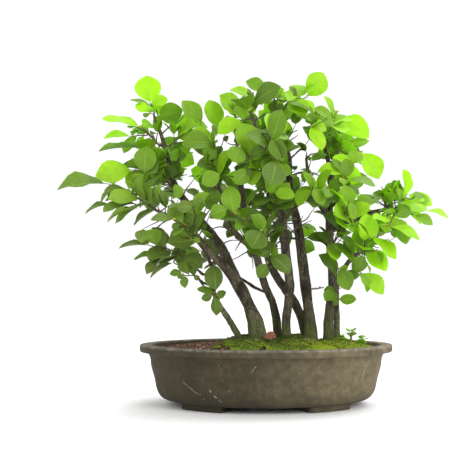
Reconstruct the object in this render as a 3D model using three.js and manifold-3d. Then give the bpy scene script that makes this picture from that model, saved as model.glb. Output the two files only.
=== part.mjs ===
// A clump-style broadleaf bonsai: eight stems from one mossy mound in an oval clay pot on four feet.
// Millimetres, +Z up. The pot's feet stand on z = 0, X runs along the pot, and -Y is the tree's front.
import * as THREE from "three";
import { mergeVertices } from "three/addons/utils/BufferGeometryUtils.js";
import Module from "manifold-3d";

const wasm = await Module();
wasm.setup();

// ---------------------------------------------------------------- driving dimensions
// Pot
const POT_LENGTH = 330; // over the lip, along X
const POT_DEPTH = 244; // over the lip, along Y
const POT_HEIGHT = 79; // ground to rim
const FOOT_HEIGHT = 7;
const FOOT_WIDTH = 28; // from the pot's edge towards its middle
const FOOT_INSET = 37; // lip to the outside of a foot
const FOOT_START = 0.6; // radians from the X axis to one end of a foot
const FOOT_END = 1.14; // radians to its other end
const FOOT_BEVEL = 2;
const FLOOR = 9;
const WALL = 8;
const LIP_OVERHANG = 12;
const LIP_HEIGHT = 9.5;
const RIM_WIDTH = 15;
const EDGE_ROUND = 1.8;
const BASE_TUCK = 41; // lip to the edge of the flat underside
const HEEL_TUCK = 8; // the wall's lean in, from under the lip to its rounded heel
const HEEL_HEIGHT = 22; // of the rounded heel
const COVE_HEIGHT = 12; // of the hollow under the lip
const DRAIN_BORE = 22;
const DRAIN_SPACING = 120;
// Drainage mesh and the wire that pins it
const MESH_SIDE = 34;
const MESH_THICK = 1.2;
const MESH_HOLE = 7.2;
const MESH_PITCH = 9.6;
const WIRE_RADIUS = 0.7;
const WIRE_ROOM = 2; // free height over the wire, under the soil
const WIRE_TAIL = 11; // bent out flat under the floor
// Soil and moss
const SOIL_BELOW_RIM = 8;
const SOIL_CROWN = 11; // rise from the pot's edge to the middle
const ROOT_DEPTH = 13; // how far a trunk goes into the soil
const ROOT_FLARE = 1.3; // a trunk's foot against its thickness above ground
const MOSS_SINK = 3; // how far a moss pad's block starts below the soil that shapes its underside
// Tree
const TREE_HEIGHT = 352; // top of the soil to the highest leaf
const TREE_SPREAD = 500; // from leaf tip to leaf tip along X
const BARK = 1; // share of the drawn trunk thickness
const LEAF_LENGTH = 41;
const LEAF_BREADTH = 0.62; // share of the leaf's length
const LEAF_RISE = 0.9; // midrib above the leaf's edge
const LEAF_SINK = 0.5; // keel below the leaf's edge
const LEAF_SPACING = 11; // along a green twig
const TWIG_RADIUS = 1.2;
const TWIG_LENGTH = 56; // the green, leafy end of a branch
const LIMB_RADIUS = 2.3;
const SPUR_LENGTH = 13; // the least woody length between a trunk's middle and a twig
const TRUNK_PITCH = 22; // between the rings of a trunk
const LIMB_PITCH = 24;
const TWIG_PITCH = 26;
const TRUNK_SIDES = 7;
const FORK_SIDES = 6;
const LIMB_SIDES = 4;
const TWIG_SIDES = 3;
// On the ground
const FALLEN_LEAF = [-4, -42]; // place of its stalk
const FALLEN_REACH = [17, -5];
const FALLEN_BREADTH = 12;
const SEEDLING = [108, -25];
const SEEDLING_HEIGHT = 22;
const SEEDLING_STEM = 0.9;
const SEEDLING_ROOT = 4;
const SEEDLING_LEAVES = 5;
const SEEDLING_LEAF = 8;
const SEEDLING_PITCH = 8;
// Fits
const FIT_GAP = 0.3; // between pieces that touch
const SOCKET_GAP = 0.8; // between a root and the soil or moss round it
const LEAF_GAP = 0.9; // least air round a leaf or a twig
const ROUND = 36; // sides of the pot

// The tree's routes are drawn at this height and spread, and what lies on the ground in a pot of this
// size. Both are then grown to the sizes above.
const DRAWN_HEIGHT = 352;
const DRAWN_SPREAD = 500;
const DRAWN_POT_LENGTH = 330;
const DRAWN_POT_DEPTH = 244;

// Each trunk and limb: points of x, y, height over the soil's crown, and radius, from the ground up.
const TRUNKS = {
  trunk_far_left: [
    [[-34, -20, 4, 4.1], [-50, -20, 33, 3.9], [-65, -22, 56, 3.3], [-70, -25, 74, 3.1],
      [-68, -27, 98, 2.8], [-77, -28, 116, 2.5], [-90, -28, 132, 2]],
  ],
  trunk_thick_left: [
    [[-10, -22, 6, 12.9], [-13, -22, 26, 10.8], [-21, -22, 47, 8.2], [-30, -24, 65, 8.7],
      [-38, -28, 79, 7.9], [-51, -36, 95, 5.9], [-67, -45, 111, 5], [-82, -52, 130, 4.2],
      [-97, -58, 145, 3.2], [-113, -62, 157, 2.2]],
    [[-32, -23, 69, 6.2], [-45, -14, 96, 6.5], [-57, -8, 120, 6.8], [-69, -5, 138, 6.5],
      [-88, -3, 160, 6], [-106, 0, 184, 5.3], [-119, 0, 202, 4.5], [-125, -4, 223, 3.7],
      [-131, -8, 251, 2.9], [-138, -10, 274, 2.3], [-145, -12, 291, 1.8]],
  ],
  trunk_leaning: [
    [[16, 4, 10, 6.1], [13, 3, 35, 5.6], [7, 0, 57, 5.3], [-4, -4, 79, 5.3], [-9, -8, 103, 5.2],
      [-16, -10, 122, 5.2], [-24, -6, 144, 4.7], [-28, 0, 169, 4.2], [-33, 8, 205, 3.5],
      [-37, 12, 248, 2.7], [-41, 12, 284, 1.9]],
    [[-17, -11, 122, 4.2], [-30, -22, 132, 4.4], [-43, -34, 142, 4.1], [-52, -40, 163, 3.3],
      [-58, -46, 186, 2.8], [-60, -50, 210, 2]],
  ],
  trunk_middle: [
    [[26, -14, 8, 7], [27, -16, 39, 6], [31, -18, 66, 6], [28, -22, 98, 6.2], [24, -26, 124, 5.6],
      [23, -28, 149, 5.1], [19, -32, 174, 4.6], [11, -36, 199, 3.8], [3, -40, 224, 3.3],
      [-6, -42, 248, 2.5], [-15, -42, 281, 1.8]],
  ],
  trunk_crossing: [
    [[54, 20, 10, 7], [46, 20, 37, 6.5], [35, 22, 56, 6.2], [23, 24, 73, 5.7], [12, 26, 90, 5.4],
      [4, 30, 106, 5.2], [-1, 34, 128, 4.9], [-1, 40, 162, 4.4], [4, 48, 199, 3.9],
      [10, 54, 236, 3.4], [7, 58, 276, 2.2]],
  ],
  trunk_apex: [
    [[59, 0, 10, 8.7], [56, 2, 46, 7.4], [52, 4, 80, 6.9], [49, 4, 105, 6.6], [46, 4, 129, 6.4],
      [42, 4, 155, 5.8], [36, 6, 183, 5], [31, 8, 210, 4.3], [31, 8, 241, 3.7],
      [25, 6, 266, 3.2], [15, 4, 287, 2.7], [14, 2, 304, 2.1]],
  ],
  trunk_right: [
    [[82, -10, 6, 7.3], [82, -10, 39, 6.3], [85, -12, 58, 6], [87, -12, 81, 6], [85, -12, 104, 5.7],
      [83, -12, 125, 6], [83, -14, 145, 5.7], [82, -12, 166, 5.2], [85, -4, 195, 3.9],
      [85, 4, 227, 3.2], [77, 10, 261, 2.4], [70, 12, 282, 1.9]],
    [[82, -14, 158, 4.2], [70, -26, 176, 3.8], [60, -36, 190, 3.3], [53, -44, 210, 2.5],
      [50, -50, 232, 1.7]],
    [[83, -14, 143, 4.2], [98, -22, 154, 3.9], [115, -26, 157, 3.3], [133, -28, 166, 2.8],
      [156, -28, 171, 2]],
  ],
  trunk_thin_right: [
    [[96, 22, 8, 4.6], [96, 22, 38, 4.1], [95, 24, 60, 4.1], [99, 28, 83, 3.8], [110, 34, 103, 3.3],
      [127, 42, 118, 2.8], [145, 48, 133, 1.9]],
  ],
};

// Each leafy branch: the trunk that bears it, and for each of its twigs the twig's end (x, y, height
// over the soil's crown), the reach of its end leaf across and up, and how broad that leaf looks from
// the front or back.
const BRANCHES = [
  ["trunk_thick_left", [[-151, -12, 310, -3, 35, 29], [-145, 14, 300, 34, 7, 24]]],
  ["trunk_thick_left", [[-160, -25, 277, -49, 9, 15], [-178, 0, 270, -36, -4, 12]]],
  ["trunk_thick_left", [[-159, -30, 250, -54, -3, 6], [-169, -38, 219, -46, -10, 25],
    [-152, -50, 211, 4, 34, 24]]],
  ["trunk_thick_left", [[-203, -30, 203, -62, -7, 24]]],
  ["trunk_thick_left", [[-195, -45, 175, -33, -11, 11], [-173, -40, 186, -29, -6, 15],
    [-156, -60, 168, -39, -17, 11]]],
  ["trunk_thick_left", [[-110, -100, 151, -26, -1, 7], [-88, -96, 126, -21, 5, 9],
    [-85, -106, 166, 12, 6, 8]]],
  ["trunk_far_left", [[-130, -34, 123, -3, 20, 14], [-148, -50, 123, -36, -3, 12]]],
  ["trunk_far_left", [[-135, -24, 109, -20, -20, 14], [-141, -30, 115, -28, -9, 11]]],
  ["trunk_far_left", [[-106, -40, 89, -16, -1, 9], [-104, -36, 86, 1, -16, 10]]],
  ["trunk_far_left", [[-67, -44, 62, -14, -6, 10], [-64, -48, 61, 2, -26, 11]]],
  ["trunk_thick_left", [[-163, 60, 209, -35, 11, 20], [-122, 70, 267, -28, 17, 23]]],
  ["trunk_thick_left", [[-83, 0, 283, -25, 33, 22]]],
  ["trunk_leaning", [[-65, 24, 286, -12, 37, 20], [-27, 18, 301, -34, 27, 22]]],
  ["trunk_leaning", [[-64, -60, 248, -39, -2, 20], [-66, -40, 262, -30, 2, 18]]],
  ["trunk_leaning", [[-54, -84, 207, -22, -13, 18], [-64, -70, 220, -20, 0, 13],
    [-77, -70, 174, 18, -7, 12]]],
  ["trunk_middle", [[-10, -42, 304, -35, 13, 18], [-28, -70, 272, -30, -17, 17]]],
  ["trunk_apex", [[0, 16, 328, -27, 19, 17], [13, -20, 315, 0, 15, 19], [17, 10, 320, -4, -21, 20]]],
  ["trunk_apex", [[55, 0, 322, 22, 30, 29], [41, -8, 320, 22, 16, 10], [27, -30, 307, 34, -13, 11]]],
  ["trunk_right", [[86, -34, 284, -25, 14, 15], [54, -60, 270, 14, -32, 17]]],
  ["trunk_right", [[94, 0, 293, 41, -26, 28]]],
  ["trunk_right", [[125, -20, 246, 21, -36, 28], [91, 10, 252, 39, -13, 16]]],
  ["trunk_right", [[101, -50, 207, -1, 24, 17], [102, -60, 203, 33, -7, 7], [95, -60, 209, -31, 4, 15]]],
  ["trunk_right", [[157, -5, 184, 22, 18, 26], [149, -30, 180, 2, 17, 11]]],
  ["trunk_right", [[206, -20, 169, 30, -10, 12], [185, 10, 193, 31, -15, 19]]],
  ["trunk_right", [[186, -45, 161, 23, -13, 10], [148, -80, 143, 36, -16, 17]]],
  ["trunk_right", [[129, -70, 133, 30, -27, 11], [135, -64, 115, 7, -15, 9]]],
  ["trunk_thin_right", [[125, 0, 91, 30, -28, 16], [126, 6, 89, 9, -24, 9]]],
  ["trunk_right", [[91, -38, 55, 23, 0, 12], [92, -42, 96, 12, -28, 19]]],
  ["trunk_right", [[85, -56, 138, 24, -25, 14], [76, -60, 124, 31, -20, 11]]],
  ["trunk_middle", [[-30, -95, 238, -11, -19, 20], [-22, -98, 210, -15, -19, 16]]],
  ["trunk_middle", [[5, -112, 244, 15, -28, 18], [12, -112, 217, -7, -30, 28],
    [18, -90, 252, -27, 2, 7]]],
  ["trunk_middle", [[-5, -80, 190, -18, -18, 11], [9, -92, 183, 25, -5, 15]]],
  ["trunk_right", [[55, -96, 189, 12, -22, 15], [73, -92, 189, 23, -22, 8],
    [55, -88, 188, -18, -21, 11]]],
  ["trunk_middle", [[-5, -100, 137, -12, -21, 26], [-47, -92, 164, -21, -8, 17],
    [2, -66, 99, -12, -17, 15]]],
  ["trunk_right", [[100, -90, 174, 2, -23, 11], [106, -84, 152, 18, -22, 7]]],
  ["trunk_crossing", [[-79, 92, 236, -32, 10, 23], [-38, 100, 171, -26, -9, 21]]],
  ["trunk_crossing", [[-23, 95, 294, -26, 25, 23], [35, 88, 317, 22, 26, 23]]],
  ["trunk_crossing", [[28, 118, 221, 22, 18, 24], [49, 90, 141, 23, -15, 20]]],
  ["trunk_right", [[114, 84, 220, 33, 13, 23], [91, 70, 296, 31, 14, 23]]],
  ["trunk_thin_right", [[164, 80, 176, 32, 4, 20], [127, 70, 132, 27, -13, 17]]],
  ["trunk_leaning", [[-93, 60, 124, -28, -8, 17]]],
];

// Moss pads: middle x and y, half sizes, and thickness.
const MOSS_PADS = {
  moss_pad_left: [-25, -16, 33, 62, 8],
  moss_pad_middle: [38, -4, 28, 76, 9],
  moss_pad_right: [97, -2, 29, 62, 7],
};

const material = (color, roughness) => new THREE.MeshStandardMaterial({ color, roughness, metalness: 0 });
const CLAY = material(0x544e3c, 0.85);
const SOIL = material(0x6b3f26, 0.95);
const MOSS = material(0x5d8f16, 0.95);
const BARK_BROWN = material(0x4c4136, 0.9);
const LEAF_GREEN = material(0x6fb11c, 0.45);
const MESH_BLACK = material(0x23251f, 0.6);
const WIRE = new THREE.MeshStandardMaterial({ color: 0x8c6a4a, roughness: 0.4, metalness: 1 });
const DEAD_LEAF = material(0x8a4526, 0.8);

// ---------------------------------------------------------------- solids from geometries
function solidOf(geometry) {
  const bare = new THREE.BufferGeometry();
  const flat = geometry.index ? geometry.toNonIndexed() : geometry;
  bare.setAttribute("position", flat.getAttribute("position"));
  const merged = mergeVertices(bare, 1e-4);
  const triVerts = new Uint32Array(merged.index.array);
  return new wasm.Manifold(
    new wasm.Mesh({ numProp: 3, vertProperties: merged.attributes.position.array, triVerts }),
  );
}

function geometryOf(solid) {
  const mesh = solid.getMesh();
  const geometry = new THREE.BufferGeometry();
  geometry.setAttribute("position", new THREE.BufferAttribute(new Float32Array(mesh.vertProperties), 3));
  geometry.setIndex(new THREE.BufferAttribute(new Uint32Array(mesh.triVerts), 1));
  geometry.computeVertexNormals();
  return geometry;
}

// Moves every vertex of a closed geometry to where place(vertex) says.
function reshape(geometry, place) {
  const positions = geometry.getAttribute("position");
  const vertex = new THREE.Vector3();
  for (let i = 0; i < positions.count; i++) {
    const moved = place(vertex.fromBufferAttribute(positions, i));
    positions.setXYZ(i, moved.x, moved.y, moved.z);
  }
  return geometry;
}

// The largest body of a solid, for where a cut leaves a sliver behind.
function mainBody(solid) {
  return solid.decompose().reduce((a, b) => (b.volume() > a.volume() ? b : a));
}

// A fixed share from 0 to 1 that differs for each pair of whole numbers, so no two twigs are alike.
function vary(i, j) {
  const wave = Math.sin(i * 127.1 + j * 311.7) * 43758.5453;
  return wave - Math.floor(wave);
}

const vector = (x, y, z) => new THREE.Vector3(x, y, z);
const UP = vector(0, 0, 1);

// ---------------------------------------------------------------- pot
// The pot is an oval whose wall is as thick at its ends as at its sides: a ring of half length r is
// this deep.
const SLIM = (POT_LENGTH - POT_DEPTH) / 2;
const ovalDepth = (r) => (r > 2 * SLIM ? r - SLIM : r / 2);

// Spins a profile of half length and height into an oval solid.
function ovalSolid(profile) {
  const lathe = new THREE.LatheGeometry(profile, ROUND);
  return reshape(lathe, (v) => {
    const r = Math.hypot(v.x, v.z);
    const turn = r > 0 ? ovalDepth(r) / r : 0;
    return vector(v.x, -v.z * turn, v.y);
  });
}

const lipEdge = POT_LENGTH / 2;
const lipFoot = POT_HEIGHT - LIP_HEIGHT;
const bodyTop = lipEdge - LIP_OVERHANG;
const baseEdge = lipEdge - BASE_TUCK;
const floorTop = FOOT_HEIGHT + FLOOR;
const innerTop = lipEdge - RIM_WIDTH;

// The inside of the wall, down to the middle of the floor.
function innerWall(curve) {
  const [side, corner] = [bodyTop - WALL, baseEdge + HEEL_TUCK];
  curve.lineTo(innerTop - EDGE_ROUND, lipFoot + EDGE_ROUND);
  curve.quadraticCurveTo(side, lipFoot - EDGE_ROUND, side - EDGE_ROUND, lipFoot - COVE_HEIGHT);
  const [bendX, bendZ] = [side - HEEL_TUCK, floorTop + WALL + EDGE_ROUND];
  curve.bezierCurveTo(bendX, bendZ, corner, floorTop, baseEdge - FLOOR / 2, floorTop);
  curve.lineTo(0, floorTop);
}

// Half the pot's section: underside, rounded heel, wall, the hollow under the lip, rim and inside.
function potProfile() {
  const heel = bodyTop - HEEL_TUCK;
  const [heelTop, coveFoot] = [FOOT_HEIGHT + HEEL_HEIGHT, lipFoot - COVE_HEIGHT];
  const curve = new THREE.Path();
  curve.moveTo(0, FOOT_HEIGHT);
  curve.lineTo(baseEdge, FOOT_HEIGHT);
  const [bendX, bendZ] = [heel - EDGE_ROUND, heelTop - 0.6 * HEEL_HEIGHT];
  curve.bezierCurveTo((baseEdge + 2 * heel) / 3, FOOT_HEIGHT, bendX, bendZ, heel, heelTop);
  curve.lineTo(bodyTop - EDGE_ROUND, coveFoot);
  curve.quadraticCurveTo(bodyTop, lipFoot - EDGE_ROUND, lipEdge - LIP_OVERHANG / 2, lipFoot);
  curve.lineTo(lipEdge - EDGE_ROUND, lipFoot);
  curve.lineTo(lipEdge, lipFoot + EDGE_ROUND);
  curve.lineTo(lipEdge, POT_HEIGHT - EDGE_ROUND);
  curve.lineTo(lipEdge - EDGE_ROUND, POT_HEIGHT);
  curve.lineTo(innerTop + EDGE_ROUND, POT_HEIGHT);
  curve.lineTo(innerTop, POT_HEIGHT - EDGE_ROUND);
  innerWall(curve);
  return curve.getPoints(3);
}

// One foot: a block under the pot's edge, between two angles seen from above, with bevelled ends.
function footSolid(start, end) {
  const outer = lipEdge - FOOT_INSET;
  const inner = outer - FOOT_WIDTH;
  const outline = new THREE.Shape();
  outline.absellipse(0, 0, outer, ovalDepth(outer), start, end, false, 0);
  outline.absellipse(0, 0, inner, ovalDepth(inner), end, start, true, 0);
  const block = new THREE.ExtrudeGeometry(outline, {
    depth: FOOT_HEIGHT,
    curveSegments: 6,
    bevelEnabled: true,
    bevelThickness: FOOT_BEVEL,
    bevelSize: FOOT_BEVEL,
    bevelOffset: -FOOT_BEVEL,
    bevelSegments: 1,
  });
  return solidOf(block.translate(0, 0, FOOT_BEVEL));
}

function drainPlug(x) {
  const bore = new THREE.CylinderGeometry(DRAIN_BORE / 2, DRAIN_BORE / 2, 4 * FLOOR, 20);
  return solidOf(bore.rotateX(Math.PI / 2).translate(x, 0, floorTop));
}

function potSolid() {
  let pot = solidOf(ovalSolid(potProfile()));
  for (const turn of [0, Math.PI]) {
    pot = pot.add(footSolid(turn + FOOT_START, turn + FOOT_END));
    pot = pot.add(footSolid(turn - FOOT_END, turn - FOOT_START));
  }
  for (const x of drainPlaces) pot = pot.subtract(drainPlug(x));
  return pot;
}

const drainPlaces = [-DRAIN_SPACING / 2, DRAIN_SPACING / 2];

// ---------------------------------------------------------------- drainage mesh and its wire
const meshBottom = floorTop + FIT_GAP;
const meshTop = meshBottom + MESH_THICK;

function meshSolid(x) {
  const sheet = new THREE.BoxGeometry(MESH_SIDE, MESH_SIDE, MESH_THICK);
  const steps = [-MESH_PITCH, 0, MESH_PITCH];
  const holes = steps.flatMap((dx) => steps.map((dy) => [x + dx, dy]));
  return holes.reduce((mesh, [px, py]) => {
    const hole = new THREE.BoxGeometry(MESH_HOLE, MESH_HOLE, 3 * MESH_THICK);
    return mesh.subtract(solidOf(hole.translate(px, py, meshBottom)));
  }, solidOf(sheet.translate(x, 0, meshBottom + MESH_THICK / 2)));
}

// The wire lies over the mesh, goes down through the bore and is bent out flat under the floor.
function wireSolid(x) {
  const leg = DRAIN_BORE / 2 - 3 * WIRE_RADIUS;
  const over = meshTop + FIT_GAP + WIRE_RADIUS;
  const under = FOOT_HEIGHT - FIT_GAP - 2 * WIRE_RADIUS;
  const half = [
    [leg - 1.5, over],
    [leg, over - 1.5],
    [leg, under + 2],
    [leg + 3, under],
    [leg + WIRE_TAIL, under],
  ];
  const points = [...half.map(([y, z]) => [-y, z]).reverse(), ...half];
  const route = points.map(([y, z]) => [vector(x, y, z), WIRE_RADIUS]);
  return tube(route, 6, 5);
}

// ---------------------------------------------------------------- soil and moss
const soilEdge = POT_HEIGHT - SOIL_BELOW_RIM;
const soilTop = soilEdge + SOIL_CROWN;

// The pot's inner half length at a height.
function innerRadiusAt(height, points) {
  for (let i = 1; i < points.length; i++) {
    const [high, low] = [points[i - 1], points[i]];
    if (high.y >= height && low.y <= height && high.y > low.y)
      return low.x + ((high.x - low.x) * (height - low.y)) / (high.y - low.y);
  }
  return points[0].x;
}

const innerCurve = new THREE.Path();
innerCurve.moveTo(innerTop, POT_HEIGHT - EDGE_ROUND);
innerWall(innerCurve);
const innerPoints = innerCurve.getPoints(3);
const soilRadius = innerRadiusAt(soilEdge, innerPoints) - FIT_GAP;

// The soil's surface: a low dome, highest in the middle of the pot.
function soilHeight(x, y) {
  const share = Math.min(1, Math.hypot(x / soilRadius, y / ovalDepth(soilRadius)));
  return soilEdge + SOIL_CROWN * (1 - share * share);
}

function soilSolid() {
  const below = innerPoints.filter((p) => p.y < soilEdge && p.x > 0);
  const floor = floorTop + FIT_GAP;
  const side = below.map((p) => new THREE.Vector2(p.x - FIT_GAP, Math.max(p.y, floor)));
  const dome = [1, 0.85, 0.6, 0.3, 0].map((share) => {
    return new THREE.Vector2(share * soilRadius, soilEdge + SOIL_CROWN * (1 - share * share));
  });
  return solidOf(ovalSolid([new THREE.Vector2(0, floor), ...side.reverse(), ...dome]));
}

// A drawn place on the ground, kept at its share of the pot's size.
function onGround([x, y]) {
  return [(x * POT_LENGTH) / DRAWN_POT_LENGTH, (y * POT_DEPTH) / DRAWN_POT_DEPTH];
}

// A moss pad lies on the soil and is thickest in its middle. Its underside starts out in the soil.
function mossSolid([padX, padY, halfX, halfY, thick]) {
  const [x, y] = onGround([padX, padY]);
  const [alongX, alongY] = onGround([halfX, halfY]);
  const ball = new THREE.SphereGeometry(1, 16, 6);
  return solidOf(reshape(ball, (v) => {
    const [px, py] = [x + alongX * v.x, y - alongY * v.z];
    const lift = v.y > -0.1 ? thick * v.y : -MOSS_SINK;
    return vector(px, py, soilHeight(px, py) + FIT_GAP + lift);
  }));
}

// The height of the ground with its moss.
function groundHeight(x, y) {
  const cover = Object.values(MOSS_PADS).map(([padX, padY, halfX, halfY, thick]) => {
    const [px, py] = onGround([padX, padY]);
    const [alongX, alongY] = onGround([halfX, halfY]);
    const share = Math.hypot((x - px) / alongX, (y - py) / alongY);
    return share < 1 ? thick * Math.sqrt(1 - share * share) : 0;
  });
  return soilHeight(x, y) + FIT_GAP + Math.max(...cover);
}

// The room round a drainage mesh and its wire that the soil leaves free.
function meshPocket(x) {
  const side = MESH_SIDE + 2 * FIT_GAP;
  const top = meshTop + 2 * WIRE_RADIUS + WIRE_ROOM;
  const height = top - FOOT_HEIGHT;
  return solidOf(new THREE.BoxGeometry(side, side, height).translate(x, 0, top - height / 2));
}

// ---------------------------------------------------------------- wood
// A closed tube along a route of [point, radius] pairs, with a ring every pitch millimetres.
function tube(route, sides, pitch, extra = 0) {
  const curve = curveOf(route);
  const steps = stepsOf(curve, pitch);
  const frames = curve.computeFrenetFrames(steps, false);
  const rod = new THREE.CylinderGeometry(1, 1, 1, sides, steps);
  return solidOf(reshape(rod, (v) => {
    const ring = Math.round((v.y + 0.5) * steps);
    const radius = extra + radiusAlong(route, curve.getUtoTmapping(ring / steps));
    const centre = curve.getPointAt(ring / steps);
    centre.addScaledVector(frames.normals[ring], radius * v.x);
    return centre.addScaledVector(frames.binormals[ring], -radius * v.z);
  }));
}

function curveOf(route) {
  const points = route.map(([point]) => point);
  return new THREE.CatmullRomCurve3(points, false, "centripetal");
}

const stepsOf = (curve, pitch) => Math.max(2, Math.round(curve.getLength() / pitch));

// The middle of a tube at a share of its length: on the straight stretch between two of its rings.
function middleOf(curve, pitch, share) {
  const steps = stepsOf(curve, pitch);
  const ring = Math.min(steps - 1, Math.floor(share * steps));
  return curve.getPointAt(ring / steps).lerp(curve.getPointAt((ring + 1) / steps), share * steps - ring);
}

function radiusAlong(route, t) {
  const place = t * (route.length - 1);
  const i = Math.min(route.length - 2, Math.floor(place));
  return THREE.MathUtils.lerp(route[i][1], route[i + 1][1], place - i);
}

// A drawn point grown to the tree's height and spread.
function grown(x, y, height) {
  const spread = TREE_SPREAD / DRAWN_SPREAD;
  return vector(x * spread, y * spread, soilTop + (height * TREE_HEIGHT) / DRAWN_HEIGHT);
}

const grownRoute = (points) => points.map(([x, y, height, r]) => [grown(x, y, height), r * BARK]);

// A trunk's own route starts with its flared foot, down in the soil.
function rooted(route) {
  const [point, radius] = route[0];
  const foot = vector(point.x, point.y, soilHeight(point.x, point.y) - ROOT_DEPTH);
  return [[foot, radius * ROOT_FLARE], ...route];
}

// ---------------------------------------------------------------- leaves
// A flat leaf with a keel, from its stalk's foot along reach, its upper face turned to face.
function leafSolid(foot, reach, face, breadth) {
  const along = reach.clone().normalize();
  const normal = face.clone().addScaledVector(along, -face.dot(along)).normalize();
  const side = vector(0, 0, 0).crossVectors(along, normal);
  const length = reach.length();
  const blade = new THREE.SphereGeometry(1, 6, 2);
  return solidOf(reshape(blade, (v) => {
    const middle = Math.abs(v.y) > 0.5;
    const share = middle ? 0.45 : Math.abs(v.x) > 0.9 ? (1 + Math.sign(v.x)) / 2 : v.x > 0 ? 0.7 : 0.32;
    const across = (v.z * breadth * (v.x > 0 ? 0.5 : 0.56)) / Math.sin(Math.PI / 3);
    const lift = !middle ? 0 : v.y > 0 ? LEAF_RISE : -LEAF_SINK;
    const point = foot.clone().addScaledVector(along, share * length);
    return point.addScaledVector(side, middle ? 0 : across).addScaledVector(normal, lift);
  }));
}

// A dead leaf lies on the ground in front of the trunks, forward of its drawn place by so much.
function fallenLeaf(forward) {
  const [x, y] = onGround(FALLEN_LEAF);
  const foot = vector(x, y - forward, 0);
  const reach = vector(...FALLEN_REACH, 0);
  const heights = [0, 0.25, 0.5, 0.75, 1].flatMap((share) => [-0.5, 0, 0.5].map((aside) => {
    const point = foot.clone().addScaledVector(reach, share);
    return groundHeight(point.x, point.y + aside * FALLEN_BREADTH);
  }));
  foot.z = Math.max(...heights) + LEAF_SINK + FIT_GAP;
  return leafSolid(foot, reach, UP, FALLEN_BREADTH);
}

// A weed seedling with round leaves stands in the moss on the right, forward of its drawn place by so
// much.
function seedlingRoute(forward, below) {
  const [x, y] = onGround(SEEDLING);
  const ground = soilHeight(x, y - forward);
  const heights = [-below, SEEDLING_HEIGHT / 2, SEEDLING_HEIGHT];
  return heights.map((height, i) => [vector(x + i, y - forward - i, ground + height), SEEDLING_STEM]);
}

function seedlingSolid(forward) {
  const route = seedlingRoute(forward, SEEDLING_ROOT);
  const stem = curveOf(route);
  let plant = tube(route, 6, SEEDLING_PITCH);
  for (let i = 0; i < SEEDLING_LEAVES; i++) {
    const turn = (i * 2 * Math.PI) / SEEDLING_LEAVES;
    const foot = middleOf(stem, SEEDLING_PITCH, i % 2 ? 0.95 : 0.72);
    const reach = vector(Math.cos(turn), Math.sin(turn), 0.3).multiplyScalar(SEEDLING_LEAF);
    plant = plant.add(leafSolid(foot, reach, vector(0, -0.4, 1), 0.8 * SEEDLING_LEAF));
  }
  return plant;
}

// What already stands in the tree's space: solids with their boxes.
const standing = [];

function stands(solid) {
  const box = solid.boundingBox();
  return { solid, low: vector(...box.min), high: vector(...box.max) };
}

// True where a solid keeps its distance from everything standing, apart from the names it may touch.
function isClear(solid, ...owners) {
  const mine = stands(solid);
  return standing.every((other) => {
    if (owners.includes(other.owner)) return true;
    const apart = ["x", "y", "z"].some((axis) => {
      return mine.low[axis] > other.high[axis] + LEAF_GAP || mine.high[axis] < other.low[axis] - LEAF_GAP;
    });
    return apart || solid.minGap(other.solid, LEAF_GAP) > 0.99 * LEAF_GAP;
  });
}

function stand(solid, owner) {
  standing.push({ ...stands(solid), owner });
  return solid;
}

// How far forward a piece on the ground has to be to stand clear of the trunks.
function clearStep(solidAt) {
  const steps = [0, 3, 6, 9, 12, 15, 18, 21, 24];
  return steps.find((forward) => isClear(solidAt(forward))) ?? 0;
}

// True where a solid keeps its distance from each of some others.
function keepsOff(solid, others) {
  return others.every((other) => solid.minGap(other, LEAF_GAP) > 0.6 * LEAF_GAP);
}

// ---------------------------------------------------------------- trunks
const wood = {};
const sockets = {};
const samples = {};
for (const [name, routes] of Object.entries(TRUNKS)) {
  const grownRoutes = routes.map(grownRoute);
  grownRoutes[0] = rooted(grownRoutes[0]);
  const swollen = (extra) => {
    const limbs = grownRoutes.map((route, i) => {
      return tube(route, i ? FORK_SIDES : TRUNK_SIDES, TRUNK_PITCH, extra);
    });
    return limbs.reduce((a, b) => a.add(b));
  };
  // Where two trunks press on each other, the later one gives way.
  const crowding = standing.map((other) => other.room);
  const trunk = crowding.reduce((rest, room) => rest.subtract(room), swollen(0));
  const room = swollen(SOCKET_GAP);
  sockets[name] = room.add(room.translate([0, 0, -SOCKET_GAP]));
  samples[name] = grownRoutes.flatMap((route) => {
    return curveOf(route).getSpacedPoints(60).filter((point) => point.z > soilTop + SPUR_LENGTH);
  });
  wood[name] = mainBody(trunk);
  stand(wood[name], name);
  standing.at(-1).room = swollen(2 * FIT_GAP);
}

// Places where a branch may leave its trunk, the best first: near its twigs, and lower than them.
function branchPoints(points, end) {
  const cost = (point) => {
    const across = Math.hypot(end.x - point.x, end.y - point.y);
    return across + 1.3 * Math.abs(end.z - point.z - 0.55 * across);
  };
  return [...points].sort((a, b) => cost(a) - cost(b));
}

// Moves that a twig's end may make to keep clear of its neighbours, away and up.
const AWAY = [0, 5, -5, 10, -10, 16, -16, 22, -22, 30, -30, 38, -38];
const NUDGES = [0, 8, -8, 16, -16].flatMap((up) => AWAY.map((away) => vector(0, away, up)));
// Bows that a limb may take between its trunk and its twigs, sideways and up, the slightest first.
const SIDEWAYS = [0, 8, -8, 16, -16, 25, -25, 35, -35];
const BOWS = SIDEWAYS.flatMap((aside) => [0, 10, -10, 20, -20, 32].map((lift) => [aside, lift]));
BOWS.sort((a, b) => Math.hypot(...a) - Math.hypot(...b));
const ROOT_CHOICES = [0, 6, 12, 20, 30];

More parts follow.
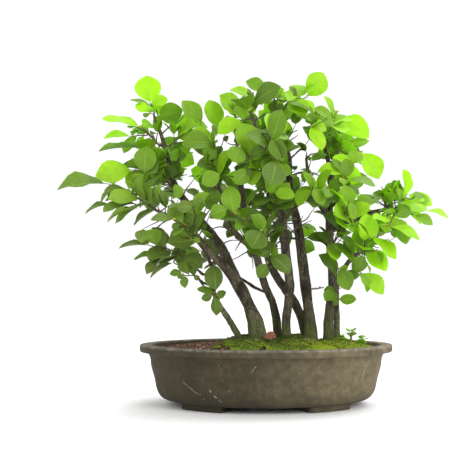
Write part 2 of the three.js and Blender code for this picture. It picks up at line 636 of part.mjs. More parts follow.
// An end leaf reaches where it is drawn to, and turns just enough to look as broad as it is drawn.
function endLeaf(foot, [reachX, reachZ, look]) {
  const front = foot.y < 45 ? -1 : 1;
  const seen = Math.hypot(reachX, reachZ);
  const reach = vector(reachX, 0.2 * front * seen, reachZ);
  const breadth = Math.max(look, LEAF_BREADTH * seen);
  const along = reach.clone().normalize();
  const toFront = vector(0, front, 0).addScaledVector(along, -along.y * front).normalize();
  const upright = vector(0, 0, 0).crossVectors(along, toFront);
  if (upright.z < 0) upright.negate();
  const facing = Math.min(1, look / breadth);
  const face = toFront.multiplyScalar(facing).addScaledVector(upright, Math.sqrt(1 - facing * facing));
  return leafSolid(foot, reach, face, breadth);
}

const shoots = BRANCHES.map(([trunk, twigs], index) => {
  const owner = "leafy_shoot_" + String(index + 1).padStart(2, "0");
  const ends = twigs.map(([x, y, height]) => grown(x, y, height));
  const centre = ends.reduce((sum, end) => sum.add(end), vector(0, 0, 0)).divideScalar(ends.length);
  const roots = branchPoints(samples[trunk], centre);
  const root = roots[0];
  const way = centre.clone().sub(root);
  const green = Math.min(TWIG_LENGTH, way.length() - SPUR_LENGTH);
  const joint = centre.clone().addScaledVector(way.normalize(), -green);
  return { trunk, owner, index, twigs, ends, roots, root, joint };
});

// A shoot's first twig grows on from the end of its limb, and its others fork from the first; each
// bows upwards.
function twigRoute(shoot, end, k) {
  const bow = vector(0, 0, 3 + 4 * vary(shoot.index, k));
  if (shoot.routes.length) {
    const fork = middleOf(curveOf(shoot.routes[0]), TWIG_PITCH, 0.12 + 0.1 * k);
    const middle = fork.clone().lerp(end, 0.5).add(bow);
    return [
      [fork, 0.8 * TWIG_RADIUS],
      [middle, 0.75 * TWIG_RADIUS],
      [end, 0.65 * TWIG_RADIUS],
    ];
  }
  const out = shoot.joint.clone().sub(shoot.root).normalize();
  const start = shoot.joint.clone().addScaledVector(out, 2 * FIT_GAP);
  const near = start.clone().addScaledVector(out, 4);
  const middle = near.clone().lerp(end, 0.55).add(bow);
  return [
    [start, TWIG_RADIUS],
    [near, TWIG_RADIUS],
    [middle, 0.9 * TWIG_RADIUS],
    [end, 0.65 * TWIG_RADIUS],
  ];
}

// Twigs and end leaves come first, because their places are drawn.
for (const shoot of shoots) {
  shoot.routes = [];
  shoot.twigSolids = [];
  shoot.blades = [];
  shoot.twigs.forEach(([, , , ...leaf], k) => {
    for (const nudge of NUDGES) {
      const end = shoot.ends[k].clone().add(nudge);
      const route = twigRoute(shoot, end, k);
      const twig = tube(route, TWIG_SIDES, TWIG_PITCH);
      const blade = endLeaf(middleOf(curveOf(route), TWIG_PITCH, 0.97), leaf);
      if (!isClear(twig, shoot.owner) || !isClear(blade, shoot.owner)) continue;
      if (!keepsOff(blade, [...shoot.blades, ...shoot.twigSolids])) continue;
      if (!keepsOff(twig, shoot.blades)) continue;
      shoot.routes.push(route);
      shoot.twigSolids.push(twig);
      shoot.blades.push(blade);
      break;
    }
  });
  for (const part of [...shoot.twigSolids, ...shoot.blades]) stand(part, shoot.owner);
}

// The ways a woody limb may take from a place on its trunk to its shoot.
function limbRoutes(shoot, root) {
  const across = shoot.joint.clone().sub(root);
  const aside = vector(0, 0, 0).crossVectors(across, UP).normalize();
  const back = shoot.joint.clone().addScaledVector(across.clone().normalize(), -5);
  const radii = [LIMB_RADIUS, 0.8 * LIMB_RADIUS, 1.1 * TWIG_RADIUS, TWIG_RADIUS];
  return BOWS.map(([sideways, lift]) => {
    const middle = root.clone().lerp(shoot.joint, 0.5).addScaledVector(UP, lift - 4);
    middle.addScaledVector(aside, sideways + 4 * (vary(shoot.index, 7) - 0.5));
    return [root, middle, back, shoot.joint].map((point, i) => [point, radii[i]]);
  });
}

// The first limb that is clear of everything but its own trunk.
function limbSolid(shoot) {
  for (const choice of ROOT_CHOICES)
    for (const route of limbRoutes(shoot, shoot.roots[Math.min(choice, shoot.roots.length - 1)])) {
      const limb = tube(route, LIMB_SIDES, LIMB_PITCH);
      if (!isClear(limb, shoot.trunk, shoot.owner) || !keepsOff(limb, shoot.blades)) continue;
      if (shoot.twigSolids.every((twig) => twig.minGap(limb, 1) >= FIT_GAP)) return limb;
    }
  throw new Error("no clear way from " + shoot.trunk + " to " + shoot.owner);
}

for (const shoot of shoots) {
  const limb = limbSolid(shoot);
  wood[shoot.trunk] = wood[shoot.trunk].add(limb);
  stand(limb, shoot.trunk);
}

// ---------------------------------------------------------------- leaves along the twigs
const GOLDEN = 2.39996; // radians between one leaf and the next round a twig
const TURNS = [0, 0.35, -0.35, 0.8, -0.8, 1.3, -1.3, 1.9, -1.9, 2.5, -2.5, 3.1];
const SHRINKS = [1, 0.8, 0.62];
const BARE_LENGTH = 10; // of a twig, before its first leaf

// The first leaf round the twig, and then the first smaller one, that finds room to open.
function fittingLeaf(shoot, k, { foot, ahead, size, turn }) {
  const front = foot.y < 30 ? -1 : 1;
  const out = vector(foot.x - 15, 1.3 * foot.y, 0).normalize();
  const across = vector(0, 0, 0).crossVectors(ahead, UP).normalize();
  const above = vector(0, 0, 0).crossVectors(across, ahead);
  const neighbours = [...shoot.blades, ...shoot.twigSolids.filter((_, i) => i !== k)];
  for (const shrink of SHRINKS)
    for (const more of TURNS) {
      const angle = turn + more;
      const spoke = across.clone().multiplyScalar(Math.cos(angle));
      spoke.addScaledVector(above, Math.sin(angle));
      const reach = ahead.clone().multiplyScalar(0.6).add(spoke).addScaledVector(out, 0.25);
      reach.normalize().multiplyScalar(size * shrink);
      const face = vector(0.35 * out.x, 0.35 * out.y + front * 0.55, 0.75 + 0.3 * Math.sin(3 * angle));
      const blade = leafSolid(foot, reach, face, LEAF_BREADTH * size * shrink);
      if (keepsOff(blade, neighbours) && isClear(blade, shoot.owner)) return blade;
    }
  return null;
}

function leavesAlong(shoot, route, k) {
  const curve = curveOf(route);
  const length = curve.getLength();
  const count = Math.max(1, Math.floor((length - BARE_LENGTH) / LEAF_SPACING));
  for (let i = 0; i < count; i++) {
    const u = (BARE_LENGTH + (i + 0.3 * vary(shoot.index + k, i)) * LEAF_SPACING) / length;
    const size = LEAF_LENGTH * (0.66 + 0.4 * vary(shoot.index + 9, i + 5 * k));
    const turn = i * GOLDEN + 2 * k;
    const leaf = { foot: middleOf(curve, TWIG_PITCH, u), ahead: curve.getTangentAt(u), size, turn };
    const blade = fittingLeaf(shoot, k, leaf);
    if (!blade) continue;
    shoot.blades.push(blade);
    stand(blade, shoot.owner);
  }
}

for (const shoot of shoots) shoot.routes.forEach((route, k) => leavesAlong(shoot, route, k));

// ---------------------------------------------------------------- the finished object
const tree = new THREE.Group();

function piece(name, solid, finish) {
  const mesh = new THREE.Mesh(geometryOf(solid), finish);
  mesh.name = name;
  tree.add(mesh);
}

const seedlingStep = clearStep(seedlingSolid);
const seedlingFoot = seedlingRoute(seedlingStep, SEEDLING_ROOT + SOCKET_GAP);
const seedlingSocket = tube(seedlingFoot, 6, SEEDLING_PITCH, SOCKET_GAP);

piece("pot", potSolid(), CLAY);
let soil = soilSolid();
drainPlaces.forEach((x, i) => {
  const side = ["left", "right"][i];
  piece("drainage_mesh_" + side, meshSolid(x), MESH_BLACK);
  piece("mesh_wire_" + side, wireSolid(x), WIRE);
  soil = soil.subtract(meshPocket(x));
});
const bed = soilSolid().translate([0, 0, FIT_GAP]);
const roots = [...Object.values(sockets), seedlingSocket];
for (const socket of roots) soil = soil.subtract(socket);
piece("soil", mainBody(soil), SOIL);
for (const [name, pad] of Object.entries(MOSS_PADS)) {
  const laid = mossSolid(pad).subtract(bed);
  const moss = roots.reduce((rest, socket) => rest.subtract(socket), laid);
  piece(name, mainBody(moss), MOSS);
}
for (const [name, solid] of Object.entries(wood)) piece(name, solid, BARK_BROWN);
for (const shoot of shoots) {
  const solid = [...shoot.twigSolids, ...shoot.blades].reduce((a, b) => a.add(b));
  piece(shoot.owner, solid, LEAF_GREEN);
}
piece("seedling", seedlingSolid(seedlingStep), LEAF_GREEN);
piece("fallen_leaf", fallenLeaf(clearStep(fallenLeaf)), DEAD_LEAF);

// The frame's origin is on the ground under the middle of the whole object.
const middle = new THREE.Box3().setFromObject(tree).getCenter(vector(0, 0, 0));
const bonsai = new THREE.Group();
tree.position.set(-middle.x, -middle.y, 0);
bonsai.add(tree);

export default bonsai;
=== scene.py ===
"""A clump-style broadleaf bonsai in an oval clay pot, built around its CAD frame.

Metres, +Z up, front at -Y.
"""

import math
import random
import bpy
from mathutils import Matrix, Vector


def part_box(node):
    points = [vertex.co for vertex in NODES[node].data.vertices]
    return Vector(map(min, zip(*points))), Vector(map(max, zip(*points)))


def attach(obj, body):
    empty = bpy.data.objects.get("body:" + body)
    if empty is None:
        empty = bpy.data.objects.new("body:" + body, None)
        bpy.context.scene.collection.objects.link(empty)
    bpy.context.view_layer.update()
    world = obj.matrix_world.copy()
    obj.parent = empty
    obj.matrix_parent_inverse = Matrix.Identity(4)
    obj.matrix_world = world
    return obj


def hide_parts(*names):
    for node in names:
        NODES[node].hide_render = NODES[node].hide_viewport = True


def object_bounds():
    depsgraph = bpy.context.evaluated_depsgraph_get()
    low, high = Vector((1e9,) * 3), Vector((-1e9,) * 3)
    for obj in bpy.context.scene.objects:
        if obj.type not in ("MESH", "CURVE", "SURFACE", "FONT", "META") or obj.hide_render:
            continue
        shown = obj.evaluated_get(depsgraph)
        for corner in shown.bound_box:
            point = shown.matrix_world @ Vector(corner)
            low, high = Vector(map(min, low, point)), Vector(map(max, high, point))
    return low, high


bl_info = {
    "name": "Clump Bonsai",
    "version": (1, 0, 0),
    "blender": (4, 5, 0),
    "location": "View3D > Sidebar > Bonsai",
    "description": "Builds a leafy clump bonsai with its mossy ground and oval clay pot",
    "category": "Object",
}

import bmesh
import bpy
from mathutils import Matrix, Vector, geometry, kdtree, noise

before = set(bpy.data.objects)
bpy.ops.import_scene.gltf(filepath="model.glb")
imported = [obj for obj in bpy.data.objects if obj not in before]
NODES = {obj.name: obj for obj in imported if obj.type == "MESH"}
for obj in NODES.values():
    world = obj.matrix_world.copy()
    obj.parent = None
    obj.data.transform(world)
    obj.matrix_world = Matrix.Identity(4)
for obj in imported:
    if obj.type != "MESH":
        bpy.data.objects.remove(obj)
CAD_BOX = [list(corner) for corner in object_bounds()]
BOXES = {name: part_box(name) for name in NODES}
POT_LOW, POT_HIGH = BOXES["pot"]
POT_MIDDLE = (POT_LOW + POT_HIGH) / 2
TREE_TOP = CAD_BOX[1][2]

SHOOTS = sorted(name for name in NODES if name.startswith("leafy_shoot"))
TRUNKS = sorted(name for name in NODES if name.startswith("trunk"))
MOSS_PADS = sorted(name for name in NODES if name.startswith("moss_pad"))

# How the frame's leaves are drawn: two crests, over and under a flat outline. The crests and
# the outline's two pairs of shoulders stand at these shares of the length.
LEAF_RISE = 0.0009
LEAF_SINK = 0.0005
CREST_GAP = LEAF_RISE + LEAF_SINK
CREST_SHARE = 0.45
SHOULDER_SHARES = (0.32, 0.7)
NEAR_SHOULDER, FAR_SHOULDER = 0.56, 0.5

MERGE_DISTANCE = 2e-6
GAP_LEEWAY = 4e-5
SHARE_LEEWAY = 0.02
FLAT_LEEWAY = 1.5e-4

# The pot's turned parts.
POT_STEPS = 160
SOIL_STEPS = 96
SOIL_RINGS = 26
SOIL_DOME = 0.011
FOOT_START, FOOT_END = 0.6, 1.14
FOOT_BEVEL = 0.0016
WANDER_FLOOR = 0.003

# How much is strewn.
CRUMBS = 2600
CARPET_TUFTS = 9500
TUFT_SHARE = 0.42
BUD_SHARE = 0.6
RIPE_SHARE = 0.25

# Each operator draws from its own seed. The shoots and the spurs count on from theirs.
SEEDS = {"soil": 11, "moss": 23, "shoots": 100, "spurs": 300, "litter": 5}
ANY_TURN = 6.28
ALL_SMOOTH = 180
GRAIN_LOW, GRAIN_HIGH = 0.3, 0.7
CROWN_FOOT = 0.2


# ---------------------------------------------------------------- sizes and colours
def colour_property(name, description, default):
    return bpy.props.FloatVectorProperty(
        name=name, description=description, default=default, subtype="COLOR", size=3, min=0, max=1
    )


def length_property(name, description, default):
    return bpy.props.FloatProperty(
        name=name, description=description, default=default, unit="LENGTH", min=0, precision=5
    )


class BonsaiPotLook(bpy.types.PropertyGroup):
    """Sizes and colours of the clay pot."""

    lip_overhang: length_property("Lip Overhang", "How far the lip stands out from the wall", 0.012)
    lip_height: length_property("Lip Height", "Height of the lip's outer band", 0.0095)
    rim_width: length_property("Rim Width", "Width of the lip seen from above", 0.015)
    wall: length_property("Wall", "Thickness of the wall", 0.008)
    floor: length_property("Floor", "Thickness of the floor", 0.009)
    base_tuck: length_property("Base Tuck", "From the lip in to the edge of the flat underside", 0.041)
    heel_tuck: length_property("Heel Tuck", "The wall's lean in, from under the lip to the heel", 0.008)
    heel_height: length_property("Heel Height", "Height of the rounded heel", 0.022)
    foot_height: length_property("Foot Height", "Height of the four feet", 0.007)
    foot_width: length_property("Foot Width", "Width of a foot towards the pot's middle", 0.028)
    foot_inset: length_property("Foot Inset", "From the lip in to the outside of a foot", 0.037)
    drain_bore: length_property("Drain Bore", "Diameter of the two drainage holes", 0.022)
    clay: colour_property("Clay", "Main colour of the fired clay", (0.05, 0.04, 0.022))
    # Dark Clay also paints shade on the heel; Light Clay also paints light on the right side.
    clay_dark: colour_property("Dark Clay", "Colour of its smoky patches", (0.028, 0.026, 0.016))
    clay_light: colour_property("Light Clay", "Colour of its dry, paler patches", (0.155, 0.123, 0.07))
    lime: colour_property("Lime", "Colour of the lime bloom, specks and scratches", (0.4, 0.37, 0.3))


class BonsaiGroundLook(bpy.types.PropertyGroup):
    """Sizes and colours of the soil, the moss and what lies on them."""

    crumb: length_property("Crumb", "Size of the larger soil crumbs", 0.0026)
    tuft: length_property("Tuft", "Height of a moss tuft", 0.0027)
    bits: bpy.props.IntProperty(name="Bits", description="Brown bits lying in the moss", default=420, min=0)
    soil: colour_property("Soil", "Main colour of the soil", (0.14, 0.07, 0.03))
    soil_dark: colour_property("Dark Soil", "Colour of damp crumbs", (0.045, 0.024, 0.014))
    moss: colour_property("Moss", "Main colour of the moss", (0.13, 0.22, 0.015))
    # Bright Moss is laid more on the right-hand tufts, as painted light.
    moss_bright: colour_property("Bright Moss", "Colour of its fresh tips", (0.5, 0.64, 0.03))
    moss_dark: colour_property("Dark Moss", "Colour of its shaded depths", (0.026, 0.042, 0.008))
    dead_leaf: colour_property("Dead Leaf", "Colour of the fallen leaf", (0.26, 0.085, 0.04))
    wire: colour_property("Wire", "Colour of the drainage wire", (0.45, 0.3, 0.18))
    net: colour_property("Net", "Colour of the drainage net", (0.02, 0.022, 0.018))


class BonsaiWoodLook(bpy.types.PropertyGroup):
    """Sizes and colours of the trunks, limbs and twigs."""

    grain: length_property("Grain", "Mesh size from which the bark is shaped", 0.0007)
    fissure: length_property("Fissure", "Depth of the bark's fissures", 0.0009)
    twig: length_property("Twig", "Radius of a green twig at its foot", 0.00125)
    bark: colour_property("Bark", "Main colour of the bark", (0.09, 0.072, 0.042))
    bark_dark: colour_property("Dark Bark", "Colour in the fissures", (0.024, 0.019, 0.012))
    bark_light: colour_property("Light Bark", "Colour of weathered ridges", (0.34, 0.3, 0.21))
    algae: colour_property("Algae", "Green film at the trunks' feet", (0.075, 0.105, 0.018))
    shoot: colour_property("Shoot", "Colour of young twigs", (0.075, 0.066, 0.026))


class BonsaiLeafLook(bpy.types.PropertyGroup):
    """Sizes and colours of the leaves."""

    thickness: length_property("Thickness", "Thickness of a leaf at its midrib", 0.0004)
    spurs: bpy.props.IntProperty(name="Spurs", description="Leafy spurs on each trunk", default=36, min=0)
    # Each leaf's tone picks among these colours and is partly painted light: Shade Leaf stands for painted
    # shade low and inside, Fresh Leaf for painted light high up and on the right.
    shade: colour_property("Shade Leaf", "Colour of old inner leaves", (0.135, 0.23, 0.03))
    full: colour_property("Full Leaf", "Colour of grown leaves", (0.215, 0.42, 0.018))
    fresh_and_lit: colour_property("Fresh Leaf", "Colour of fresh outer leaves", (0.5, 0.86, 0.012))
    back: colour_property("Leaf Back", "Colour of the leaves' undersides", (0.3, 0.41, 0.1))
    # Vein also paints the highlight along each leaf's rim.
    vein: colour_property("Vein", "Colour of the midrib and veins", (0.45, 0.66, 0.1))
    bud: colour_property("Bud", "Colour of the buds", (0.45, 0.5, 0.06))
    stamen: colour_property("Stamen", "Colour of the opening flower buds", (0.7, 0.28, 0.03))


class BonsaiStageLook(bpy.types.PropertyGroup):
    """The plain stage round the tree."""

    floor: colour_property("Floor", "Colour of the floor", (0.93, 0.93, 0.93))
    distance: length_property("Camera Distance", "From the camera to the pot's middle", 0.9)
    height: length_property("Camera Height", "Camera over the floor", 0.143)
    lens: bpy.props.FloatProperty(name="Lens", description="Focal length", default=54.3, unit="CAMERA")
    shift_across: bpy.props.FloatProperty(
        name="Shift Across", description="View moved to the right, as a share of its width", default=-0.0885
    )
    shift_up: bpy.props.FloatProperty(
        name="Shift Up", description="View moved up, as a share of its width", default=0.1527
    )


# ---------------------------------------------------------------- shader helpers
class NodeTree:
    """Short ways to add and join the nodes of a material or a node group."""

    def __init__(self, tree):
        self.tree = tree
        self.nodes = tree.nodes
        self.nodes.clear()

    def add(self, kind, **settings):
        node = self.nodes.new("ShaderNode" + kind)
        for name, value in settings.items():
            setattr(node, name, value)
        return node

    def feed(self, socket, value):
        """Joins an output socket to an input, or sets the input to a plain value."""
        if isinstance(value, bpy.types.NodeSocket):
            self.tree.links.new(value, socket)
        elif hasattr(value, "__len__") and len(value) == 3 and socket.type == "RGBA":
            socket.default_value = (*value, 1)
        else:
            socket.default_value = value

    def maths(self, operation, *values, clamp=False):
        node = self.add("Math", operation=operation, use_clamp=clamp)
        for socket, value in zip(node.inputs, values):
            self.feed(socket, value)
        return node.outputs[0]

    def times(self, *values, **how):
        return self.maths("MULTIPLY", *values, **how)

    def plus(self, *values, **how):
        return self.maths("ADD", *values, **how)

    def minus(self, *values, **how):
        return self.maths("SUBTRACT", *values, **how)

    def larger(self, *values):
        return self.maths("MAXIMUM", *values)

    def mix(self, factor, low, high, blend="MIX"):
        node = self.add("Mix", data_type="RGBA", blend_type=blend)
        self.feed(node.inputs[0], factor)
        self.feed(node.inputs[6], low)
        self.feed(node.inputs[7], high)
        return node.outputs[2]

    def spread(self, value, low, high, new_low=0.0, new_high=1.0):
        node = self.add("MapRange", interpolation_type="SMOOTHSTEP")
        for socket, given in zip(node.inputs, (value, low, high, new_low, new_high)):
            self.feed(socket, given)
        return node.outputs[0]

    def between(self, grain, low, high):
        """A value between two, by the fine grain."""
        return self.spread(grain, GRAIN_LOW, GRAIN_HIGH, low, high)

    def split(self, vector):
        """The X, Y and Z of a vector."""
        node = self.add("SeparateXYZ")
        self.feed(node.inputs[0], vector)
        return node.outputs

    def blade(self):
        """What a repeated shape carries: its place across, its place along and its tone."""
        return self.add("Attribute", attribute_name="blade").outputs["Vector"]

    def stretched(self, vector, scale):
        node = self.add("Mapping")
        self.feed(node.inputs["Vector"], vector)
        node.inputs["Scale"].default_value = scale
        return node.outputs[0]

    def cloud(self, vector, scale, detail=4.0, roughness=0.55):
        node = self.add("TexNoise")
        self.feed(node.inputs["Vector"], vector)
        node.inputs["Scale"].default_value = scale
        node.inputs["Detail"].default_value = detail
        node.inputs["Roughness"].default_value = roughness
        return node.outputs["Fac"]

    def group(self, made, **values):
        node = self.add("Group", node_tree=made)
        for name, value in values.items():
            self.feed(node.inputs[name.replace("_", " ")], value)
        return node.outputs

    def bump(self, height, strength, distance):
        node = self.add("Bump")
        node.inputs["Strength"].default_value = strength
        node.inputs["Distance"].default_value = distance
        self.feed(node.inputs["Height"], height)
        return node.outputs[0]


def new_group(name, inputs, outputs):
    """A new shader node group with named sockets, and the ends of its tree."""
    tree = bpy.data.node_groups.new(name, "ShaderNodeTree")
    for label, kind, default in inputs:
        socket = tree.interface.new_socket(label, in_out="INPUT", socket_type="NodeSocket" + kind)
        if default is not None:
            socket.default_value = default
    for label, kind in outputs:
        tree.interface.new_socket(label, in_out="OUTPUT", socket_type="NodeSocket" + kind)
    nodes = NodeTree(tree)
    return nodes, nodes.nodes.new("NodeGroupInput").outputs, nodes.nodes.new("NodeGroupOutput").inputs


def mottle_group():
    """Cloudy patches at two scales."""
    name = "Mottle"
    if name in bpy.data.node_groups:
        return bpy.data.node_groups[name]
    nodes, given, result = new_group(
        name,
        [
            ("Vector", "Vector", None),
            ("Scale", "Float", 20.0),
            ("Low", "Float", 0.4),
            ("High", "Float", 0.65),
        ],
        [("Patches", "Float"), ("Grain", "Float")],
    )
    broad = nodes.add("TexNoise")
    broad.inputs["Detail"].default_value = 5
    broad.inputs["Roughness"].default_value = 0.62
    nodes.feed(broad.inputs["Vector"], given["Vector"])
    nodes.feed(broad.inputs["Scale"], given["Scale"])
    fine = nodes.add("TexNoise")
    fine.inputs["Detail"].default_value = 3
    nodes.feed(fine.inputs["Vector"], given["Vector"])
    nodes.feed(fine.inputs["Scale"], nodes.times(given["Scale"], 9.0))
    nodes.feed(result["Patches"], nodes.spread(broad.outputs["Fac"], given["Low"], given["High"]))
    nodes.feed(result["Grain"], fine.outputs["Fac"])
    return nodes.tree


def speck_group():
    """Scattered round specks, of which a share is left out."""
    name = "Specks"
    if name in bpy.data.node_groups:
        return bpy.data.node_groups[name]
    nodes, given, result = new_group(
        name,
        [
            ("Vector", "Vector", None),
            ("Scale", "Float", 200.0),
            ("Size", "Float", 0.2),
            ("Share", "Float", 0.3),
        ],
        [("Specks", "Float")],
    )
    cells = nodes.add("TexVoronoi")
    nodes.feed(cells.inputs["Vector"], given["Vector"])
    nodes.feed(cells.inputs["Scale"], given["Scale"])
    near = nodes.maths("LESS_THAN", cells.outputs["Distance"], given["Size"])
    tone = nodes.add("SeparateColor")
    nodes.feed(tone.inputs[0], cells.outputs["Color"])
    kept = nodes.maths("LESS_THAN", tone.outputs[0], given["Share"])
    nodes.feed(result["Specks"], nodes.times(near, kept))
    return nodes.tree


def vein_group():
    """A leaf's midrib and its side veins, from its own across and along places, and a painted highlight
    along its rim.
    """
    name = "Leaf Veins"
    if name in bpy.data.node_groups:
        return bpy.data.node_groups[name]
    nodes, given, result = new_group(
        name, [("Blade", "Vector", None)], [("Midrib", "Float"), ("Veins", "Float"), ("Edge", "Float")]
    )
    parts = nodes.split(given["Blade"])
    across = nodes.maths("ABSOLUTE", parts["X"])
    along = parts["Y"]
    width = nodes.spread(along, 0.0, 1.0, 0.085, 0.03)
    midrib = nodes.minus(1.0, nodes.maths("DIVIDE", across, width), clamp=True)
    sweep = nodes.minus(along, nodes.times(across, 0.2))
    wave = nodes.maths("SINE", nodes.times(sweep, 2 * math.pi * 8))
    veins = nodes.spread(wave, 0.72, 1.0)
    veins = nodes.times(veins, nodes.spread(across, 0.97, 0.5))
    nodes.feed(result["Midrib"], nodes.spread(midrib, 0.0, 0.7))
    nodes.feed(result["Veins"], veins)
    # Painted highlight: a lighter band along the leaf's rim.
    nodes.feed(result["Edge"], nodes.spread(across, 0.86, 1.0))
    return nodes.tree


def mottled(nodes, place, scale, low, high):
    """Cloudy patches, cut between two levels, and the fine grain that goes with them."""
    return nodes.group(mottle_group(), Vector=place, Scale=scale, Low=low, High=high)


def specked(nodes, place, scale, size, share):
    """Round specks, of which this share is kept."""
    return nodes.group(speck_group(), Vector=place, Scale=scale, Size=size, Share=share)["Specks"]


def new_material(name):
    """An empty material and its node tree, with what its Object coordinates give."""
    material = bpy.data.materials.new(name)
    material.use_nodes = True
    nodes = NodeTree(material.node_tree)
    place = nodes.add("TexCoord").outputs["Object"]
    return material, nodes, place


def principled(nodes, colour, roughness, normal=None, **constants):
    shader = nodes.add("BsdfPrincipled")
    nodes.feed(shader.inputs["Base Color"], colour)
    nodes.feed(shader.inputs["Roughness"], roughness)
    if normal is not None:
        nodes.feed(shader.inputs["Normal"], normal)
    for name, value in constants.items():
        shader.inputs[name.replace("_", " ")].default_value = value
    return shader.outputs[0]


def show(nodes, shader):
    nodes.feed(nodes.add("OutputMaterial").inputs["Surface"], shader)


def glowing(nodes, body, colour, share):
    """The body with a share of light let through in this colour."""
    glow = nodes.add("BsdfTranslucent")
    nodes.feed(glow.inputs["Color"], colour)
    mixed = nodes.add("MixShader")
    mixed.inputs[0].default_value = share
    nodes.feed(mixed.inputs[1], body)
    nodes.feed(mixed.inputs[2], glow.outputs[0])
    return mixed.outputs[0]


def line_mask(nodes, place, start, end, width, dashes):
    """A broken line on the pot's front between two (x, z) places."""
    parts = nodes.split(place)
    (x0, z0), (x1, z1) = start, end
    length = math.hypot(x1 - x0, z1 - z0)
    ux, uz = (x1 - x0) / length, (z1 - z0) / length
    dx = nodes.minus(parts["X"], x0)
    dz = nodes.minus(parts["Z"], z0)
    along = nodes.plus(nodes.times(dx, ux), nodes.times(dz, uz))
    aside = nodes.minus(nodes.times(dx, uz), nodes.times(dz, ux))
    wobble = nodes.times(nodes.minus(nodes.cloud(place, 60), 0.5), 4 * width)
    wandered = nodes.maths("ABSOLUTE", nodes.plus(aside, wobble))
    near = nodes.spread(wandered, width, 0.3 * width)
    inside = nodes.times(
        nodes.spread(along, 0.0, 0.1 * length),
        nodes.spread(along, length, 0.9 * length),
    )
    broken = nodes.spread(nodes.cloud(place, dashes, 6), 0.44, 0.52)
    front = nodes.maths("LESS_THAN", parts["Y"], POT_MIDDLE.y)
    whole = nodes.times(near, inside)
    return nodes.times(whole, nodes.times(broken, front))


# ---------------------------------------------------------------- materials
def clay_material(look):
    material, nodes, place = new_material("fired_clay")
    patches = mottled(nodes, place, 14.0, 0.38, 0.62)
    smoke = mottled(nodes, place, 5.0, 0.45, 0.7)
    parts = nodes.split(place)
    # Paler towards the right: partly dry, paler clay, partly painted light from the right.
    dry_and_lit = nodes.spread(parts["X"], POT_MIDDLE.x - 0.1, POT_HIGH.x)
    colour = nodes.mix(smoke["Patches"], look.clay, look.clay_dark)
    dry_and_lit = nodes.times(dry_and_lit, nodes.spread(patches["Patches"], 0.0, 1.0, 0.45, 0.95))
    colour = nodes.mix(dry_and_lit, colour, look.clay_light)
    shade = nodes.between(patches["Grain"], 0.72, 1.18)
    tint = nodes.add("CombineColor")
    for socket in tint.inputs[:3]:
        nodes.feed(socket, shade)
    colour = nodes.mix(1.0, colour, tint.outputs[0], "MULTIPLY")
    # Painted shade: the heel darkens towards the floor in the dark clay colour.
    foot = nodes.spread(parts["Z"], 0.03, 0.004)
    colour = nodes.mix(nodes.times(foot, 0.45), colour, look.clay_dark)
    big = specked(nodes, place, 170.0, 0.12, 0.03)
    small = specked(nodes, place, 520.0, 0.2, 0.08)
    specks = nodes.larger(big, small)
    x, top = POT_MIDDLE.x, POT_HIGH.z
    scratches = [
        line_mask(nodes, place, (x - 0.068, 0.031), (x - 0.052, 0.014), 0.0012, 170),
        line_mask(nodes, place, (x - 0.102, 0.039), (x - 0.072, 0.017), 0.0006, 190),
        line_mask(nodes, place, (x + 0.122, 0.053), (x + 0.116, 0.035), 0.0008, 180),
        line_mask(nodes, place, (x - 0.018, 0.052), (x - 0.011, 0.061), 0.0008, 200),
    ]
    scratched = scratches[0]
    for scratch in scratches[1:]:
        scratched = nodes.larger(scratched, scratch)
    lip = nodes.spread(parts["Z"], top - 0.0035, top)
    worn = nodes.times(lip, nodes.spread(patches["Grain"], 0.4, 0.66, 0.16, 0.42))
    drips = nodes.cloud(nodes.stretched(place, (1, 1, 0.35)), 55, 8, 0.7)
    bloom = nodes.spread(drips, 0.58, 0.8, 0.0, 0.14)
    pale = nodes.larger(nodes.times(specks, 0.4), nodes.times(scratched, 0.45))
    pale = nodes.larger(nodes.larger(pale, worn), bloom)
    colour = nodes.mix(pale, colour, look.lime)
    grit = nodes.cloud(place, 700, 4, 0.7)
    height = nodes.plus(nodes.times(grit, 0.5), nodes.cloud(place, 90, 5))
    height = nodes.minus(height, nodes.times(scratched, 0.4))
    roughness = nodes.between(patches["Grain"], 0.62, 0.9)
    normal = nodes.bump(height, 0.55, 0.0007)
    show(nodes, principled(nodes, colour, roughness, normal, Specular_IOR_Level=0.22))
    return material


def soil_material(look):
    material, nodes, place = new_material("granular_soil")
    mottle = mottled(nodes, place, 90.0, 0.35, 0.65)
    cells = nodes.add("TexVoronoi")
    nodes.feed(cells.inputs["Vector"], place)
    cells.inputs["Scale"].default_value = 420
    tone = nodes.add("SeparateColor")
    nodes.feed(tone.inputs[0], cells.outputs["Color"])
    colour = nodes.mix(tone.outputs[0], look.soil_dark, look.soil)
    colour = nodes.mix(nodes.times(mottle["Patches"], 0.5), colour, look.soil)
    height = nodes.plus(nodes.times(cells.outputs["Distance"], -1.0), mottle["Grain"])
    normal = nodes.bump(height, 0.7, 0.0008)
    show(nodes, principled(nodes, colour, nodes.between(mottle["Grain"], 0.8, 0.98), normal))
    return material


def crumb_material(look):
    """For loose crumbs: each has its own tone."""
    material, nodes, place = new_material("soil_crumbs")
    tone = nodes.split(nodes.blade())["Z"]
    mottle = mottled(nodes, place, 300.0, 0.35, 0.65)
    colour = nodes.mix(tone, look.soil_dark, look.soil)
    colour = nodes.mix(nodes.maths("GREATER_THAN", tone, 0.93), colour, look.wire)
    colour = nodes.mix(nodes.times(mottle["Patches"], 0.35), colour, look.soil)
    normal = nodes.bump(mottle["Grain"], 0.5, 0.0003)
    show(nodes, principled(nodes, colour, nodes.between(mottle["Grain"], 0.78, 0.95), normal))
    return material


